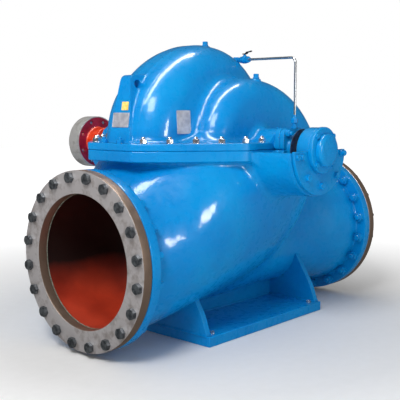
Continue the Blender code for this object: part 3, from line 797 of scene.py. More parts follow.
# %% Forms of the lower casing
SUCTION_SECTIONS = (
    (-0.660, 0.285, 0.065, 0.350, 0.635),
    (-0.625, 0.285, 0.065, 0.350, 0.635),
    (-0.560, 0.290, 0.060, 0.355, 0.645),
    (-0.480, 0.312, 0.064, 0.400, 0.700),
    (-0.400, 0.345, 0.078, 0.460, 0.770),
    (-0.300, 0.373, 0.098, 0.520, 0.850),
    (-0.180, 0.388, 0.120, 0.580, 0.900),
    (-0.050, 0.388, 0.142, 0.620, 0.940),
    (0.080, 0.378, 0.168, 0.650, 0.960),
    (0.220, 0.355, 0.218, 0.670, 0.960),
    (0.340, 0.308, 0.290, 0.690, 0.960),
    (0.430, 0.245, 0.390, 0.700, 0.940),
    (0.480, 0.155, 0.520, 0.710, 0.860),
)
DISCHARGE_SECTIONS = (
    (-0.300, 0.150, 0.112, 0.400, 0.900),
    (-0.100, 0.170, 0.098, 0.400, 0.900),
    (0.080, 0.172, 0.100, 0.380, 0.890),
    (0.250, 0.166, 0.110, 0.340, 0.830),
    (0.430, 0.161, 0.107, 0.300, 0.760),
    (0.540, 0.205, 0.098, 0.330, 0.690),
    (0.650, 0.262, 0.078, 0.347, 0.650),
    (0.730, 0.285, 0.066, 0.350, 0.637),
    (0.770, 0.285, 0.065, 0.350, 0.635),
    (0.800, 0.285, 0.065, 0.350, 0.635),
)
SUCTION_PASSAGE = ((0.0, 0.250), (0.200, 0.250), (0.300, 0.235), (0.380, 0.190), (0.420, 0.120))
DISCHARGE_PASSAGE = (
    (0.0, 0.250),
    (0.050, 0.250),
    (0.130, 0.236),
    (0.200, 0.205),
    (0.280, 0.165),
    (0.350, 0.135),
    (0.420, 0.120),
)
PASSAGE_ROOM = 0.002
suction_table = smooth_table(SUCTION_SECTIONS)
discharge_table = smooth_table(DISCHARGE_SECTIONS)


def oval(table, x, y, z):
    """Distance to a body whose cross-sections are an upper and a lower half ellipse."""
    half_width, low, middle, high = table(x)
    height = np.where(z > middle, high - middle, middle - low)
    across = y / half_width
    above = (z - middle) / height
    radius = np.sqrt(across**2 + above**2) + 1e-6
    slope = np.sqrt((across / half_width) ** 2 + (above / height) ** 2) / radius
    return (radius - 1) / np.maximum(slope, 1.0)


def suction_body(x, y, z):
    return kept_inside(oval(suction_table, x, y, z), x - 0.485, 0.05)


def discharge_body(x, y, z):
    return kept_inside(oval(discharge_table, x, y, z), -0.28 - x, 0.05)


def split_shape(x, y):
    """Distance in plan from the split flange's outline."""
    corners = [(a, -b) for a, b in SPLIT_OUTLINE] + [(a, b) for a, b in reversed(SPLIT_OUTLINE)]
    nearest = np.full(np.broadcast(x, y).shape, 1e9)
    inside = np.zeros(nearest.shape, bool)
    for (ax, ay), (bx, by) in zip(corners, corners[1:] + corners[:1]):
        ex, ey = bx - ax, by - ay
        wx, wy = x - ax, y - ay
        share = np.clip((wx * ex + wy * ey) / (ex * ex + ey * ey), 0, 1)
        nearest = np.minimum(nearest, (wx - ex * share) ** 2 + (wy - ey * share) ** 2)
        if ay != by:
            spans = (ay > y) != (by > y)
            inside ^= spans & (x < ax + (y - ay) * ex / ey)
    return np.where(inside, -1.0, 1.0) * np.sqrt(nearest)


def bracket_outside(x, y, z):
    """The outside of the half-round bearing brackets, a little deeper at the casing."""
    out = np.abs(y)
    radius = np.interp(
        out, (0.35, 0.40, 0.47, 0.543, BRACKET_END), (0.197, 0.186, 0.179, 0.175, 0.173),
    )
    around = np.hypot(x, z - SHAFT_HEIGHT) - radius
    return np.maximum(np.maximum(around, out - BRACKET_END), 0.34 - out)


def lower_form(x, y, z):
    body = joined(suction_body(x, y, z), discharge_body(x, y, z), 0.035)
    nozzle = np.hypot(y, z - NOZZLE_HEIGHT)
    for joint, towards in ((SUCTION_JOINT, 1), (DISCHARGE_JOINT, -1)):
        along = (x - joint) * towards
        disc = np.maximum(
            nozzle - (FLANGE_RADIUS - 0.014),
            np.maximum(along - (CASING_FLANGE - 0.006), 0.006 - along),
        )
        body = joined(body, disc, 0.022)
    body = joined(body, bracket_outside(x, y, z), 0.030)
    ledge = np.maximum(LOWER_FLANGE_BOTTOM + 0.001 - z, split_shape(x, y) + 0.003)
    body = joined(body, ledge, 0.030)
    body = np.maximum(body, z - (SHAFT_HEIGHT - 0.006))
    body = np.maximum(body, np.maximum(SUCTION_JOINT + 0.004 - x, x - (DISCHARGE_JOINT - 0.004)))
    return body


def passage(x, y, z):
    """The room for the two nozzle bores, a little wider than their lining."""
    nozzle = np.hypot(y, z - NOZZLE_HEIGHT)
    holes = []
    for joint, towards, radii in (
        (SUCTION_JOINT, 1, SUCTION_PASSAGE), (DISCHARGE_JOINT, -1, DISCHARGE_PASSAGE),
    ):
        along = (x - joint) * towards
        radius = np.interp(along, *zip(*radii)) + PASSAGE_ROOM
        holes.append(np.maximum(nozzle - radius, along - radii[-1][0] - PASSAGE_ROOM))
    return np.minimum(*holes)


def lower_main(x, y, z):
    return np.maximum(np.maximum(lower_form(x, y, z), -passage(x, y, z)), np.abs(y) - 0.402)


CAST_STEP = 0.0075
casting(
    "lower_casing_casting", lower_main, (-0.66, -0.42, 0.04), (0.80, 0.42, 0.76), CAST_STEP,
    *CAST_PAINTED, stands_for=("lower_casing",),
)

# %% [markdown]
# ## Bearing brackets
#
# Each end of the lower casting reaches out as a half-round trough that carries a bearing and
# catches the water that drips from the gland. It is drawn from the same fields as the casing,
# on a finer grid, because its rims are thin.

# %% Brackets
TROUGH_START = 0.385
TROUGH_END = 0.543
BRACKET_STEP = 0.0045


def trough(x, y, z):
    out = np.abs(y)
    around = np.hypot(x, z - SHAFT_HEIGHT)
    radius = np.interp(out, (TROUGH_START, TROUGH_END), (0.159, 0.150))
    hollow = np.maximum(np.maximum(around - radius, TROUGH_START - out), out - TROUGH_END)
    stuffing_box = np.maximum(around - STUFFING_BOX_RADIUS, out - 0.440)
    hollow = np.maximum(hollow, -stuffing_box)
    barrel = np.maximum(around - 0.0856, 0.5 - out)
    return np.minimum(hollow, barrel)


def bracket_form(x, y, z):
    body = lower_form(x, y, z) - 0.0004
    body = cut_away(body, trough(x, y, z), 0.006)
    body = kept_inside(body, z - (SPLIT - 0.0002), 0.006)
    return kept_inside(body, np.abs(y) - BRACKET_END, 0.006)


def bracket_piece(side):
    def shape(x, y, z):
        return np.maximum(bracket_form(x, y, z), 0.386 - side * y)

    return shape


for end, side in ENDS:
    near, far = sorted((side * 0.375, side * 0.566))
    casting(
        "bearing_bracket_" + end, bracket_piece(side), (-0.215, near, 0.53), (0.215, far, 0.757),
        BRACKET_STEP, *CAST_PAINTED, stands_for=("lower_casing",),
    )

# %% [markdown]
# ## Upper casing
#
# The top half is one casting too: the volute, a spiral that grows from the discharge side over
# the top to the suction side, with a round dome on each side of it that leads water to the
# impeller's eye. The spiral's radius and width change with the angle round the shaft.

# %% Forms of the upper casing
VOLUTE_RADIUS = 0.355
VOLUTE_GROWTH = 0.129
VOLUTE_HALF_WIDTH = 0.120
VOLUTE_WIDENING = 0.045
DOME_RADIUS = 0.275
DOME_FACE = 0.290
DOME_ROUNDING = 0.085
ANGLES = np.linspace(-90.0, 270.0, 1441)
RAMP = np.clip((ANGLES - 50.0) / 107.0, 0.0, 1.0)
BLUR = np.hanning(97) / np.hanning(97).sum()
GROWTH = np.convolve(np.pad(RAMP, 48, mode="edge"), BLUR, mode="valid")


def volute(x, y, z):
    angle = np.degrees(np.arctan2(z - SHAFT_HEIGHT, x))
    angle = np.where(angle < -90, angle + 360, angle)
    share = np.interp(angle, ANGLES, GROWTH)
    ridge = 0.003 * np.clip((0.040 - np.abs(y)) / 0.012, 0.0, 1.0)
    radius = VOLUTE_RADIUS + VOLUTE_GROWTH * share + ridge
    rounding = 0.100 + 0.030 * share
    around = np.hypot(x, z - SHAFT_HEIGHT)
    lean = 0.050 * np.clip((radius - rounding - around) / (radius - rounding - 0.030), 0, 1)
    side = np.abs(y) - (VOLUTE_HALF_WIDTH + VOLUTE_WIDENING * share) - lean
    return rounded_corner(side, around - radius, rounding)


def dome(x, y, z):
    angle = np.degrees(np.arctan2(z - SHAFT_HEIGHT, x))
    angle = np.clip(np.where(angle < -90, 180.0, angle), 0, 176)
    discharge_swell = 0.50 * (np.maximum(90 - angle, 0) / 80) ** 2
    suction_swell = 0.22 * (np.maximum(angle - 164, 0) / 12) ** 2
    growth = 1 + discharge_swell + suction_swell
    around = np.hypot(x, z - SHAFT_HEIGHT)
    return rounded_corner(np.abs(y) - DOME_FACE, around - DOME_RADIUS * growth, DOME_ROUNDING)


def stuffing_box(x, y, z):
    return np.maximum(np.hypot(x, z - SHAFT_HEIGHT) - STUFFING_BOX_RADIUS, np.abs(y) - 0.438)


SUCTION_LUG = ((-0.499, 0.064), (-0.456, 0.0245), 1.030, -0.300)
DISCHARGE_LUG = ((0.400, 0.060), (0.345, 0.0245), 0.960, 0.200)
LUG_EYE_RADIUS = 0.016
LUG_EYE_INSET = 0.034
LUG_EYE_ROOM = 0.021


def lug_form(x, y, z, lug, shrink):
    """A rib that leans and narrows upwards; shrink leaves room for the finer piece over it."""
    (base_x, base_half), (top_x, top_half), top, inner = lug
    out = -1 if top_x < 0 else 1
    share = (z - SHAFT_HEIGHT) / (top - SHAFT_HEIGHT)
    face = base_x + (top_x - base_x) * share
    half = base_half + (top_half - base_half) * share
    edge = rounded_corner((x - face) * out, z - top, 0.020)
    return np.maximum(np.maximum(edge, (inner - x) * out), np.abs(y) - half) + shrink


BOSS_RADIUS = 0.0185
BOSSES = (
    (0.155, -0.030, 1.099), (0.155, 0.030, 1.099), (0.040, -0.230, 1.024), (0.040, 0.230, 1.024),
    (-0.010, 0.0, 1.162),
)


def upper_body(x, y, z):
    body = joined(volute(x, y, z), dome(x, y, z), 0.034)
    body = joined(body, stuffing_box(x, y, z), 0.030)
    ledge = np.maximum(z - (UPPER_FLANGE_TOP - 0.0008), split_shape(x, y) + 0.003)
    return joined(body, ledge, 0.030)


def upper_form(x, y, z):
    body = upper_body(x, y, z)
    for lug in (SUCTION_LUG, DISCHARGE_LUG):
        body = joined(body, lug_form(x, y, z, lug, 0.005), 0.008)
    for boss_x, boss_y, top in BOSSES:
        boss = np.maximum(np.hypot(x - boss_x, y - boss_y) - BOSS_RADIUS, z - top)
        body = joined(body, np.maximum(boss, top - 0.06 - z), 0.010)
    for lug in (SUCTION_LUG, DISCHARGE_LUG):
        inward = 1 if lug[1][0] < 0 else -1
        eye = np.hypot(x - lug[1][0] - inward * LUG_EYE_INSET, z - lug[2] + LUG_EYE_INSET) - LUG_EYE_ROOM
        body = np.maximum(body, -np.maximum(eye, np.abs(y) - 0.060))
    body = np.maximum(body, split_shape(x, np.where(np.abs(y) < 0.41, y, 0.0)) + 0.002)
    return np.maximum(body, SHAFT_HEIGHT + 0.006 - z)


casting(
    "upper_casing_casting", upper_form, (-0.56, -0.45, 0.74), (0.51, 0.45, 1.18), CAST_STEP * 0.85,
    *CAST_PAINTED, stands_for=("upper_casing",),
)

# %% [markdown]
# ## Split flanges
#
# The two halves bolt together along a wide flange whose faces are machined, so these are
# crisp plates with softly rounded edges. They cover the edge of the cast shapes.

# %% Split flanges
near_side = [(a, -b) for a, b in SPLIT_OUTLINE]
split_corners = rounded_outline(near_side + [(a, b) for a, b in reversed(SPLIT_OUTLINE)], 0.022, 4)
plate(
    "upper_split_flange", split_corners, SHAFT_HEIGHT + 0.0002, UPPER_FLANGE_TOP, *PAINTED,
    edge=0.003, stands_for=("upper_casing",),
)
plate(
    "lower_split_flange", [(a * 0.997, b * 0.997) for a, b in split_corners], LOWER_FLANGE_BOTTOM,
    SPLIT, *PAINTED, edge=0.003, stands_for=("lower_casing",),
)

# %% [markdown]
# ## Nozzle flanges, linings and counter flanges
#
# Each nozzle ends in a standard flange for a 500 mm bore: 20 bolts of 24 mm thread on a circle of
# 620 mm. The casing's own flange is machined and painted blue. Against it, over a fibre gasket,
# sits a bare steel flange, its face turned and its rim left brown by storage. The water
# passages are brushed with red oxide primer, and shade is painted into their upper part. All of
# these are turned shapes, and the lining is a thin shell that follows the casting's hollow.

# %% Flanges at both nozzles
FLANGE_BOLTS = 20
BOLT_CIRCLE = 0.310
BOLT_FLATS = 0.036
HEAD_HEIGHT = 0.015
NUT_HEIGHT = 0.019
STUD_RADIUS = 0.012
STUD_BEYOND = 0.010
FLANGE_WASHER = (0.0125, 0.022, 0.003)
GASKET_SPACE = 0.0036
COUNTER_FLANGE = 0.038
LINING_WALL = 0.0012


def lining_profile(joint, inward, passage_radii):
    """A thin shell along a water passage, closed at its deep end."""
    inner = [(joint + inward * along, radius) for along, radius in passage_radii]
    deep = inner[-1][0]
    outer = [(along, radius + LINING_WALL) for along, radius in reversed(inner)]
    return inner + [(deep, 0.0), (deep + inward * LINING_WALL, 0.0)] + outer


def nozzle_places():
    turns = [2 * math.pi * (index + 0.5) / FLANGE_BOLTS for index in range(FLANGE_BOLTS)]
    return [
        (BOLT_CIRCLE * math.sin(turn), NOZZLE_HEIGHT + BOLT_CIRCLE * math.cos(turn)) for turn in turns
    ]


for end, joint, out, radii in (
    ("suction", SUCTION_JOINT, -1, SUCTION_PASSAGE),
    ("discharge", DISCHARGE_JOINT, 1, DISCHARGE_PASSAGE),
):
    back = joint - out * CASING_FLANGE
    bore = BORE_RADIUS + LINING_WALL
    ring = [(joint, bore), (joint, FLANGE_RADIUS), (back, FLANGE_RADIUS), (back, bore)]
    turned(
        end + "_casing_flange", "X", nozzle_centre, ring, *PAINTED, corner=0.003, sides=144,
        stands_for=("lower_casing",),
    )
    turned(
        end + "_bore_lining", "X", nozzle_centre, lining_profile(joint - out * 0.0005, -out, radii),
        primer_with_painted_shade, "blue_enamel_paint", corner=0.0, sides=112, stands_for=("lower_casing",),
    )
    start = joint + out * GASKET_SPACE
    face = start + out * COUNTER_FLANGE
    ring = [
        (start, BORE_RADIUS), (start, FLANGE_RADIUS), (face, FLANGE_RADIUS), (face, BORE_RADIUS),
    ]
    turned(
        end + "_counter_flange", "X", nozzle_centre, ring, flange_steel, "machined_steel",
        corner=0.0025, sides=144, stands_for=(end + "_companion_flange",),
    )
    outward_way = (out, 0, 0)
    inward_way = (-out, 0, 0)
    head = hexagon(BOLT_FLATS, HEAD_HEIGHT)
    nut = hexagon(BOLT_FLATS, NUT_HEIGHT)
    flat_ring = washer(*FLANGE_WASHER)
    tip = stud(STUD_RADIUS, 0.0, NUT_HEIGHT + STUD_BEYOND)
    heads = [set_on(head, (face, y, z), outward_way, any_turn()) for y, z in nozzle_places()]
    gathered(end + "_flange_bolt_heads", heads, bolt_steel, "machined_steel")
    nuts = []
    seat = back - out * FLANGE_WASHER[2]
    for y, z in nozzle_places():
        nuts.append(set_on(flat_ring, (back, y, z), inward_way))
        nuts.append(set_on(nut, (seat, y, z), inward_way, any_turn()))
        nuts.append(set_on(tip, (seat, y, z), inward_way))
    gathered(end + "_flange_nuts", nuts, *PAINTED)

# %% Gaskets keep their CAD shape
for end in ("suction", "discharge"):
    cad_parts[end + "_gasket"].data.materials[0] = gasket_fibre

# %% [markdown]
# ## Lifting lugs
#
# Two lugs are cast on the top half so that it can be lifted off. Each is a broad rib that leans
# and narrows upwards, with a round eye near its top. They are drawn from the same distances as
# the casing but on a finer grid, half a millimetre proud, so that their edges come out clean.

# %% Lugs on a finer grid
LUG_STEP = 0.0036


def lug_piece(lug):
    (base_x, base_half), (top_x, _), top, _ = lug
    inward = 1 if top_x < 0 else -1
    eye = (top_x + inward * LUG_EYE_INSET, top - LUG_EYE_INSET)
    depth = 0.150 if inward > 0 else 0.120

    def shape(x, y, z):
        body = joined(upper_body(x, y, z), lug_form(x, y, z, lug, 0.0), 0.008) - 0.0005
        body = cut_away(body, np.hypot(x - eye[0], z - eye[1]) - LUG_EYE_RADIUS, 0.004)
        along = (x - base_x) * inward
        reach = np.maximum(along - depth, np.abs(y) - (base_half + 0.016))
        return np.maximum(body, np.maximum(reach, UPPER_FLANGE_TOP - 0.002 - z))

    ends = sorted((base_x - inward * 0.012, base_x + inward * (depth + 0.012)))
    half = base_half + 0.030
    return shape, (ends[0], -half, UPPER_FLANGE_TOP - 0.012), (ends[1], half, top + 0.012)


for end, lug in (("suction", SUCTION_LUG), ("discharge", DISCHARGE_LUG)):
    shape, low, high = lug_piece(lug)
    casting(
        "lifting_lug_" + end, shape, low, high, LUG_STEP, *CAST_PAINTED,
        stands_for=("upper_casing",),
    )

# %% [markdown]
# ## Nuts round the split flange
#
# Studs in the lower half pass through the upper flange, and a nut pulls on each. They stand at
# equal steps along a line that runs inside the flange's edge, apart from where a stuffing box
# is in the way. So the line is made by shifting the outline inwards, and walked from the middle
# of its suction end. On the real pump the nuts are bright zinc on blue paint.

# %% Split flange nuts
NUT_LINE_INSET = 0.032
NUT_START = 0.140
NUT_STEP = 0.0962
SPLIT_NUT_FLATS = 0.024
SPLIT_NUT_HEIGHT = 0.014
SMALL_WASHER = (0.0085, 0.015, 0.0025)
END_NUTS = (0.060, -0.030)


def shifted_inwards(outline, distance):
    """A convex outline with every side moved inwards."""
    lines = []
    middle = Vector((sum(a for a, _ in outline), sum(b for _, b in outline))) / len(outline)
    for first, last in zip(outline, outline[1:] + outline[:1]):
        start, stop = Vector(first), Vector(last)
        normal = (stop - start).orthogonal().normalized()
        if normal.dot(middle - start) < 0:
            normal = -normal
        lines.append((start + normal * distance, stop - start))
    moved = []
    for (point, along), (other, onward) in zip(lines[-1:] + lines[:-1], lines):
        cross = along.x * onward.y - along.y * onward.x
        gap = other - point
        moved.append(point + along * ((gap.x * onward.y - gap.y * onward.x) / cross))
    return moved


def walked(corners, start, step):
    """Points at equal steps along a row of corners."""
    found = []
    target = start
    passed = 0.0
    for first, last in zip(corners, corners[1:]):
        length = (last - first).length
        while target <= passed + length:
            found.append(first.lerp(last, (target - passed) / length))
            target += step
        passed += length
    return found


whole_outline = [(a, -b) for a, b in SPLIT_OUTLINE] + [(a, b) for a, b in reversed(SPLIT_OUTLINE)]
nut_line = shifted_inwards(whole_outline, NUT_LINE_INSET)[: len(SPLIT_OUTLINE)]
half_line = [Vector((nut_line[0].x, 0.0)), *nut_line, Vector((nut_line[-1].x, 0.0))]
nut_places = []
for place in walked(half_line, NUT_START, NUT_STEP):
    if abs(place.x) > 0.085 and abs(place.y) > 0.02:
        nut_places += [(place.x, place.y), (place.x, -place.y)]
bright = []
split_nut = hexagon(SPLIT_NUT_FLATS, SPLIT_NUT_HEIGHT)
split_stud = stud(0.008, 0.0, SPLIT_NUT_HEIGHT + 0.008, 0.002)
split_washer = washer(*SMALL_WASHER)
for x, y in nut_places:
    bright.append(set_on(split_washer, (x, y, UPPER_FLANGE_TOP), UP))
    bright.append(set_on(split_nut, (x, y, UPPER_FLANGE_TOP + SMALL_WASHER[2]), UP, any_turn()))
    bright.append(set_on(split_stud, (x, y, UPPER_FLANGE_TOP + SMALL_WASHER[2]), UP))
gathered("split_flange_nuts", bright, bolt_zinc, "machined_steel")
painted = []
for y in END_NUTS:
    place = (nut_line[0].x, y, UPPER_FLANGE_TOP)
    painted.append(set_on(split_washer, place, UP))
    painted.append(set_on(split_nut, place, UP, any_turn()))
    painted.append(set_on(split_stud, place, UP))
gathered("split_flange_end_nuts", painted, *PAINTED)

# %% [markdown]
# ## Stuffing boxes and glands
#
# Where the shaft leaves the casing, rings of packing keep the water in. A square flange closes
# the stuffing box, and outside it the gland, a plate with a collar, is pulled in by four studs.
# Both are cut plates with rounded corners, split at the shaft's height.

# %% Box flanges, glands and their studs
BOX_HALF = 0.085
BOX_HEIGHT = 0.081
GLAND_HALF = 0.083
GLAND_HEIGHT = 0.079
GLAND_FACE = 0.4586
GLAND_STUDS = (0.060, 0.0625)


def half_plates(name, half, height, low, high, body_node):
    """An upper and a lower half plate round the shaft."""
    for word, sign in (("upper", 1), ("lower", -1)):
        outline = [
            (-half, SHAFT_HEIGHT + sign * 0.0003),
            (half, SHAFT_HEIGHT + sign * 0.0003),
            (half, SHAFT_HEIGHT + sign * (height - 0.016)),
            (half - 0.016, SHAFT_HEIGHT + sign * height),
            (-half + 0.016, SHAFT_HEIGHT + sign * height),
            (-half, SHAFT_HEIGHT + sign * (height - 0.016)),
        ]
        near, far = sorted((low, high))
        plate(
            name + "_" + word, rounded_outline(outline, 0.009, 4), near, far, *PAINTED,
            place=facing_y, edge=0.0018, stands_for=(body_node,),
        )


def about_shaft(name, profile, *finish, **rest):
    """A piece turned about the shaft's axis."""
    return turned(name, "Y", shaft_centre, profile, *finish, **rest)


for end, side in ENDS:
    half_plates(
        "box_flange_" + end, BOX_HALF, BOX_HEIGHT, side * 0.4195, side * 0.4401, "upper_casing",
    )
    half_plates(
        "gland_plate_" + end, GLAND_HALF, GLAND_HEIGHT, side * 0.4405, side * GLAND_FACE,
        "gland_" + end,
    )
    collar = sided(side, [
        (0.4500, 0.0410), (0.4500, 0.0640), (GLAND_FACE, 0.0640), (0.4630, 0.0600),
        (0.4760, 0.0600), (0.4760, 0.0410),
    ])
    about_shaft(
        "gland_collar_" + end, collar, *PAINTED, corner=0.002, sides=72,
        stands_for=("gland_" + end,),
    )
    away = (0, side, 0)
    studs = []
    gland_nut = hexagon(0.024, 0.013)
    gland_stud = stud(0.008, 0.0, 0.026, 0.002)
    for across in (-1, 1):
        for up in (-1, 1):
            place = (across * GLAND_STUDS[0], side * GLAND_FACE, SHAFT_HEIGHT + up * GLAND_STUDS[1])
            studs.append(set_on(washer(*SMALL_WASHER), place, away))
            seat = (place[0], place[1] + side * SMALL_WASHER[2], place[2])
            studs.append(set_on(gland_nut, seat, away, any_turn()))
            studs.append(set_on(gland_stud, place, away))
    gathered("gland_nuts_" + end, studs, *PAINTED)

# %% Grease nipples on the stuffing boxes
NIPPLE = [
    (0.0, 0.0), (0.0, 0.006), (0.006, 0.006), (0.007, 0.0035), (0.012, 0.0035), (0.014, 0.0045),
    (0.017, 0.0030),
]
for end, side in ENDS:
    lean = Vector((-0.46, 0.0, 0.89)).normalized()
    foot = Vector((0, side * 0.400, SHAFT_HEIGHT)) + lean * 0.077
    nipple = round_shape(NIPPLE + [(0.0175, 0.0)], 16)
    gathered("grease_nipple_" + end, [set_on(nipple, foot, lean)], *PAINTED)

# %% [markdown]
# ## Bearings
#
# A ball bearing sits in a barrel at each end. A half flange bolts the barrel to the bracket, a
# cover closes it, and at the non-drive end a domed cap covers the shaft's end. Everything is
# turned, apart from the half flange, which is a half disc cut from plate.

# %% Housings, covers and the end cap
HALF_FLANGE_RADIUS = 0.168
HALF_FLANGE = (0.5573, 0.5700)
BARREL = (0.5120, 0.0850)
COVER = (0.5703, 0.5880, 0.0870)
CAP = (0.5883, 0.6000, 0.6120, 0.0610)
SHAFT_HOLE = 0.0410
HALF_FLANGE_BOLTS = ((230.0, 0.130), (272.0, 0.135), (317.0, 0.146), (190.0, 0.124), (188.0, 0.152))
COVER_BOLTS = (45.0, 135.0, 225.0, 315.0)


def round_the_shaft(radius, degrees, along):
    turn = math.radians(degrees)
    return (radius * math.cos(turn), along, SHAFT_HEIGHT + radius * math.sin(turn))


for end, side in ENDS:
    housing = "bearing_housing_" + end
    half_disc = []
    for step in range(49):
        turn = math.radians(180 + 180 * step / 48)
        across, down = HALF_FLANGE_RADIUS * math.cos(turn), HALF_FLANGE_RADIUS * math.sin(turn)
        half_disc.append((across, SPLIT - 0.0004 + down))
    near, far = sorted((side * HALF_FLANGE[0], side * HALF_FLANGE[1]))
    plate(
        "bearing_half_flange_" + end, half_disc, near, far, *PAINTED, place=facing_y, edge=0.002,
        stands_for=(housing,),
    )
    start, radius = BARREL
    barrel = sided(side, [
        (start, SHAFT_HOLE), (start, radius - 0.010), (start + 0.006, radius - 0.002),
        (start + 0.016, radius), (HALF_FLANGE[1], radius), (HALF_FLANGE[1], SHAFT_HOLE),
    ])
    about_shaft(
        "bearing_barrel_" + end, barrel, *PAINTED, corner=0.002, sides=96, stands_for=(housing,),
    )
    start, stop, radius = COVER
    lid = sided(side, [
        (start, SHAFT_HOLE), (start, radius), (stop - 0.003, radius), (stop, radius - 0.003),
        (stop, SHAFT_HOLE),
    ])
    about_shaft(
        "bearing_lid_" + end, lid, *PAINTED, corner=0.0015, sides=96,
        stands_for=("bearing_cover_" + end,),
    )
    away = (0, side, 0)
    bolts = []
    for degrees, ring in HALF_FLANGE_BOLTS:
        place = round_the_shaft(ring, degrees, side * HALF_FLANGE[1])
        width = 0.024 if ring < 0.15 and degrees > 200 else 0.019
        bolts.append(set_on(washer(0.005, width * 0.6, 0.002), place, away))
        seat = (place[0], place[1] + side * 0.002, place[2])
        bolts.append(set_on(hexagon(width, width * 0.42), seat, away, any_turn()))
    for degrees in COVER_BOLTS:
        place = round_the_shaft(0.0745, degrees, side * COVER[1])
        bolts.append(set_on(hexagon(0.017, 0.007), place, away, any_turn()))
    gathered("bearing_bolts_" + end, bolts, *PAINTED)

start, shoulder, top, radius = CAP
dome_steps = 10
cap = [(-start, 0.0), (-start, radius), (-shoulder, radius)]
for step in range(1, dome_steps + 1):
    turn = math.pi / 2 * step / dome_steps
    cap.append(
        (-(shoulder + (top - shoulder) * math.sin(turn)), radius - 0.017 * (1 - math.cos(turn)))
    )
cap.append((-top, 0.0))
about_shaft(
    "bearing_dome_cap", cap, *PAINTED, corner=0.0, sides=96, stands_for=("bearing_end_cap",),
)

# %% [markdown]
# ## Rotor
#
# The shaft is one long turned bar with a key, and keeps its CAD shape with a finish of turned
# steel. Each rubber ring on it throws water off before it reaches the bearing. The coupling half
# is a hub painted orange red with a thick disc: its rim is bare turned steel, and its face is
# maroon, with pins in a ring of holes. These pieces ride on the rotor, so they turn with it.

# %% Shaft, throwers and coupling
ROTOR = "rotor"
COUPLING_FRONT = 0.7060
COUPLING_BACK = 0.7760
HUB_START = 0.6400
PIN_CIRCLE = 0.098
PIN_HOLE_RADIUS = 0.010
for node in ("shaft", "shaft_key"):
    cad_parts[node].data.materials[0] = shaft_steel
for end, side in ENDS:
    ring = sided(side, [
        (0.4820, 0.0405), (0.4820, 0.0560), (0.4845, 0.0780), (0.4875, 0.0780), (0.4900, 0.0560),
        (0.4900, 0.0405),
    ])
    about_shaft(
        "rubber_thrower_" + end, ring, thrower_rubber, "black_rubber", corner=0.0012, sides=80,
        body=ROTOR, stands_for=("water_thrower_" + end,),
    )


def with_holes(made, cutters):
    """Cuts shapes out of a piece for good, and removes them."""
    for points, faces in cutters:
        mesh = bpy.data.meshes.new("cutter")
        mesh.from_pydata([tuple(point) for point in points], [], [tuple(face) for face in faces])
        tool = bpy.data.objects.new("cutter", mesh)
        bpy.context.scene.collection.objects.link(tool)
        cut = made.modifiers.new("hole", "BOOLEAN")
        cut.operation = "DIFFERENCE"
        cut.object = tool
        graph = bpy.context.evaluated_depsgraph_get()
        result = bpy.data.meshes.new_from_object(made.evaluated_get(graph))
        made.modifiers.clear()
        made.data = result
        bpy.data.objects.remove(tool)
    made.data.shade_smooth()
    made.data.set_sharp_from_angle(angle=math.radians(35))
    return made


pin_places = []
for index in range(8):
    turn = 2 * math.pi * (index + 0.5) / 8
    pin_places.append((PIN_CIRCLE * math.cos(turn), SHAFT_HEIGHT + PIN_CIRCLE * math.sin(turn)))
disc = about_shaft(
    "coupling_disc",
    [
        (COUPLING_FRONT, 0.036), (COUPLING_FRONT, 0.1165), (COUPLING_BACK, 0.1165),
        (COUPLING_BACK, 0.036),
    ],
    maroon_enamel, "maroon_paint", corner=0.0, sides=96, body=ROTOR, stands_for=("coupling_half",),
)
hole = rod(PIN_HOLE_RADIUS, -0.01, 0.09, 28)
with_holes(disc, [set_on(hole, (x, COUPLING_FRONT, z), (0, 1, 0)) for x, z in pin_places])
soften(disc, 0.0012)
about_shaft(
    "coupling_rim",
    [
        (COUPLING_FRONT - 0.0005, 0.1160), (COUPLING_FRONT - 0.0005, 0.1212),
        (COUPLING_BACK + 0.0003, 0.1212), (COUPLING_BACK + 0.0003, 0.1160),
    ],
    rim_steel, "machined_steel", corner=0.0012, sides=128, body=ROTOR,
    stands_for=("coupling_half",),
)
hub = [
    (HUB_START, 0.0360),
    (HUB_START, 0.0650),
    (HUB_START + 0.003, 0.0680),
    (COUPLING_FRONT - 0.004, 0.0680),
    (COUPLING_FRONT + 0.001, 0.0740),
    (COUPLING_FRONT + 0.001, 0.0360),
]
about_shaft(
    "coupling_hub", hub, hub_enamel, "maroon_paint", corner=0.0015, sides=96, body=ROTOR,
    stands_for=("coupling_half",),
)
pin = rod(0.0075, 0.0, 0.060, 20, 0.002)
pins = [set_on(pin, (x, COUPLING_FRONT + 0.002, z), (0, 1, 0)) for x, z in pin_places]
gathered(
    "coupling_pins", pins, bolt_zinc, "machined_steel", body=ROTOR, stands_for=("coupling_half",),
)

# %% [markdown]
# ## Flush lines
#
# A little water is led from the top of the volute to each stuffing box, to cool and seal the
# packing. Each line is a threaded socket, a ball valve with a black lever, a bent stainless tube
# and a fitting over the gland. The line's direction is worked out from its two end points, as in
# the CAD. The lever rides on its own body where the CAD gives it a joint.

# %% Flush line pieces
TAPPING = Vector((0.155, 0.030, 1.0993))
TUBE_CORNER_Y = 0.4495
CORNER_DROPS = (0.016, 0.063)
VALVE_AXIS = 0.014
VALVE_START = 0.040
VALVE_END = 0.105
LEVER_BODY = "valve_lever"


def flush_places(side):
    """A point over the tapping, the valve's direction and the tube's corner."""
    axis_point = Vector((TAPPING.x, side * TAPPING.y, TAPPING.z + VALVE_AXIS))
    corner = Vector((0.0, side * TUBE_CORNER_Y, axis_point.z - CORNER_DROPS[side > 0]))
    return axis_point, (corner - axis_point).normalized(), corner


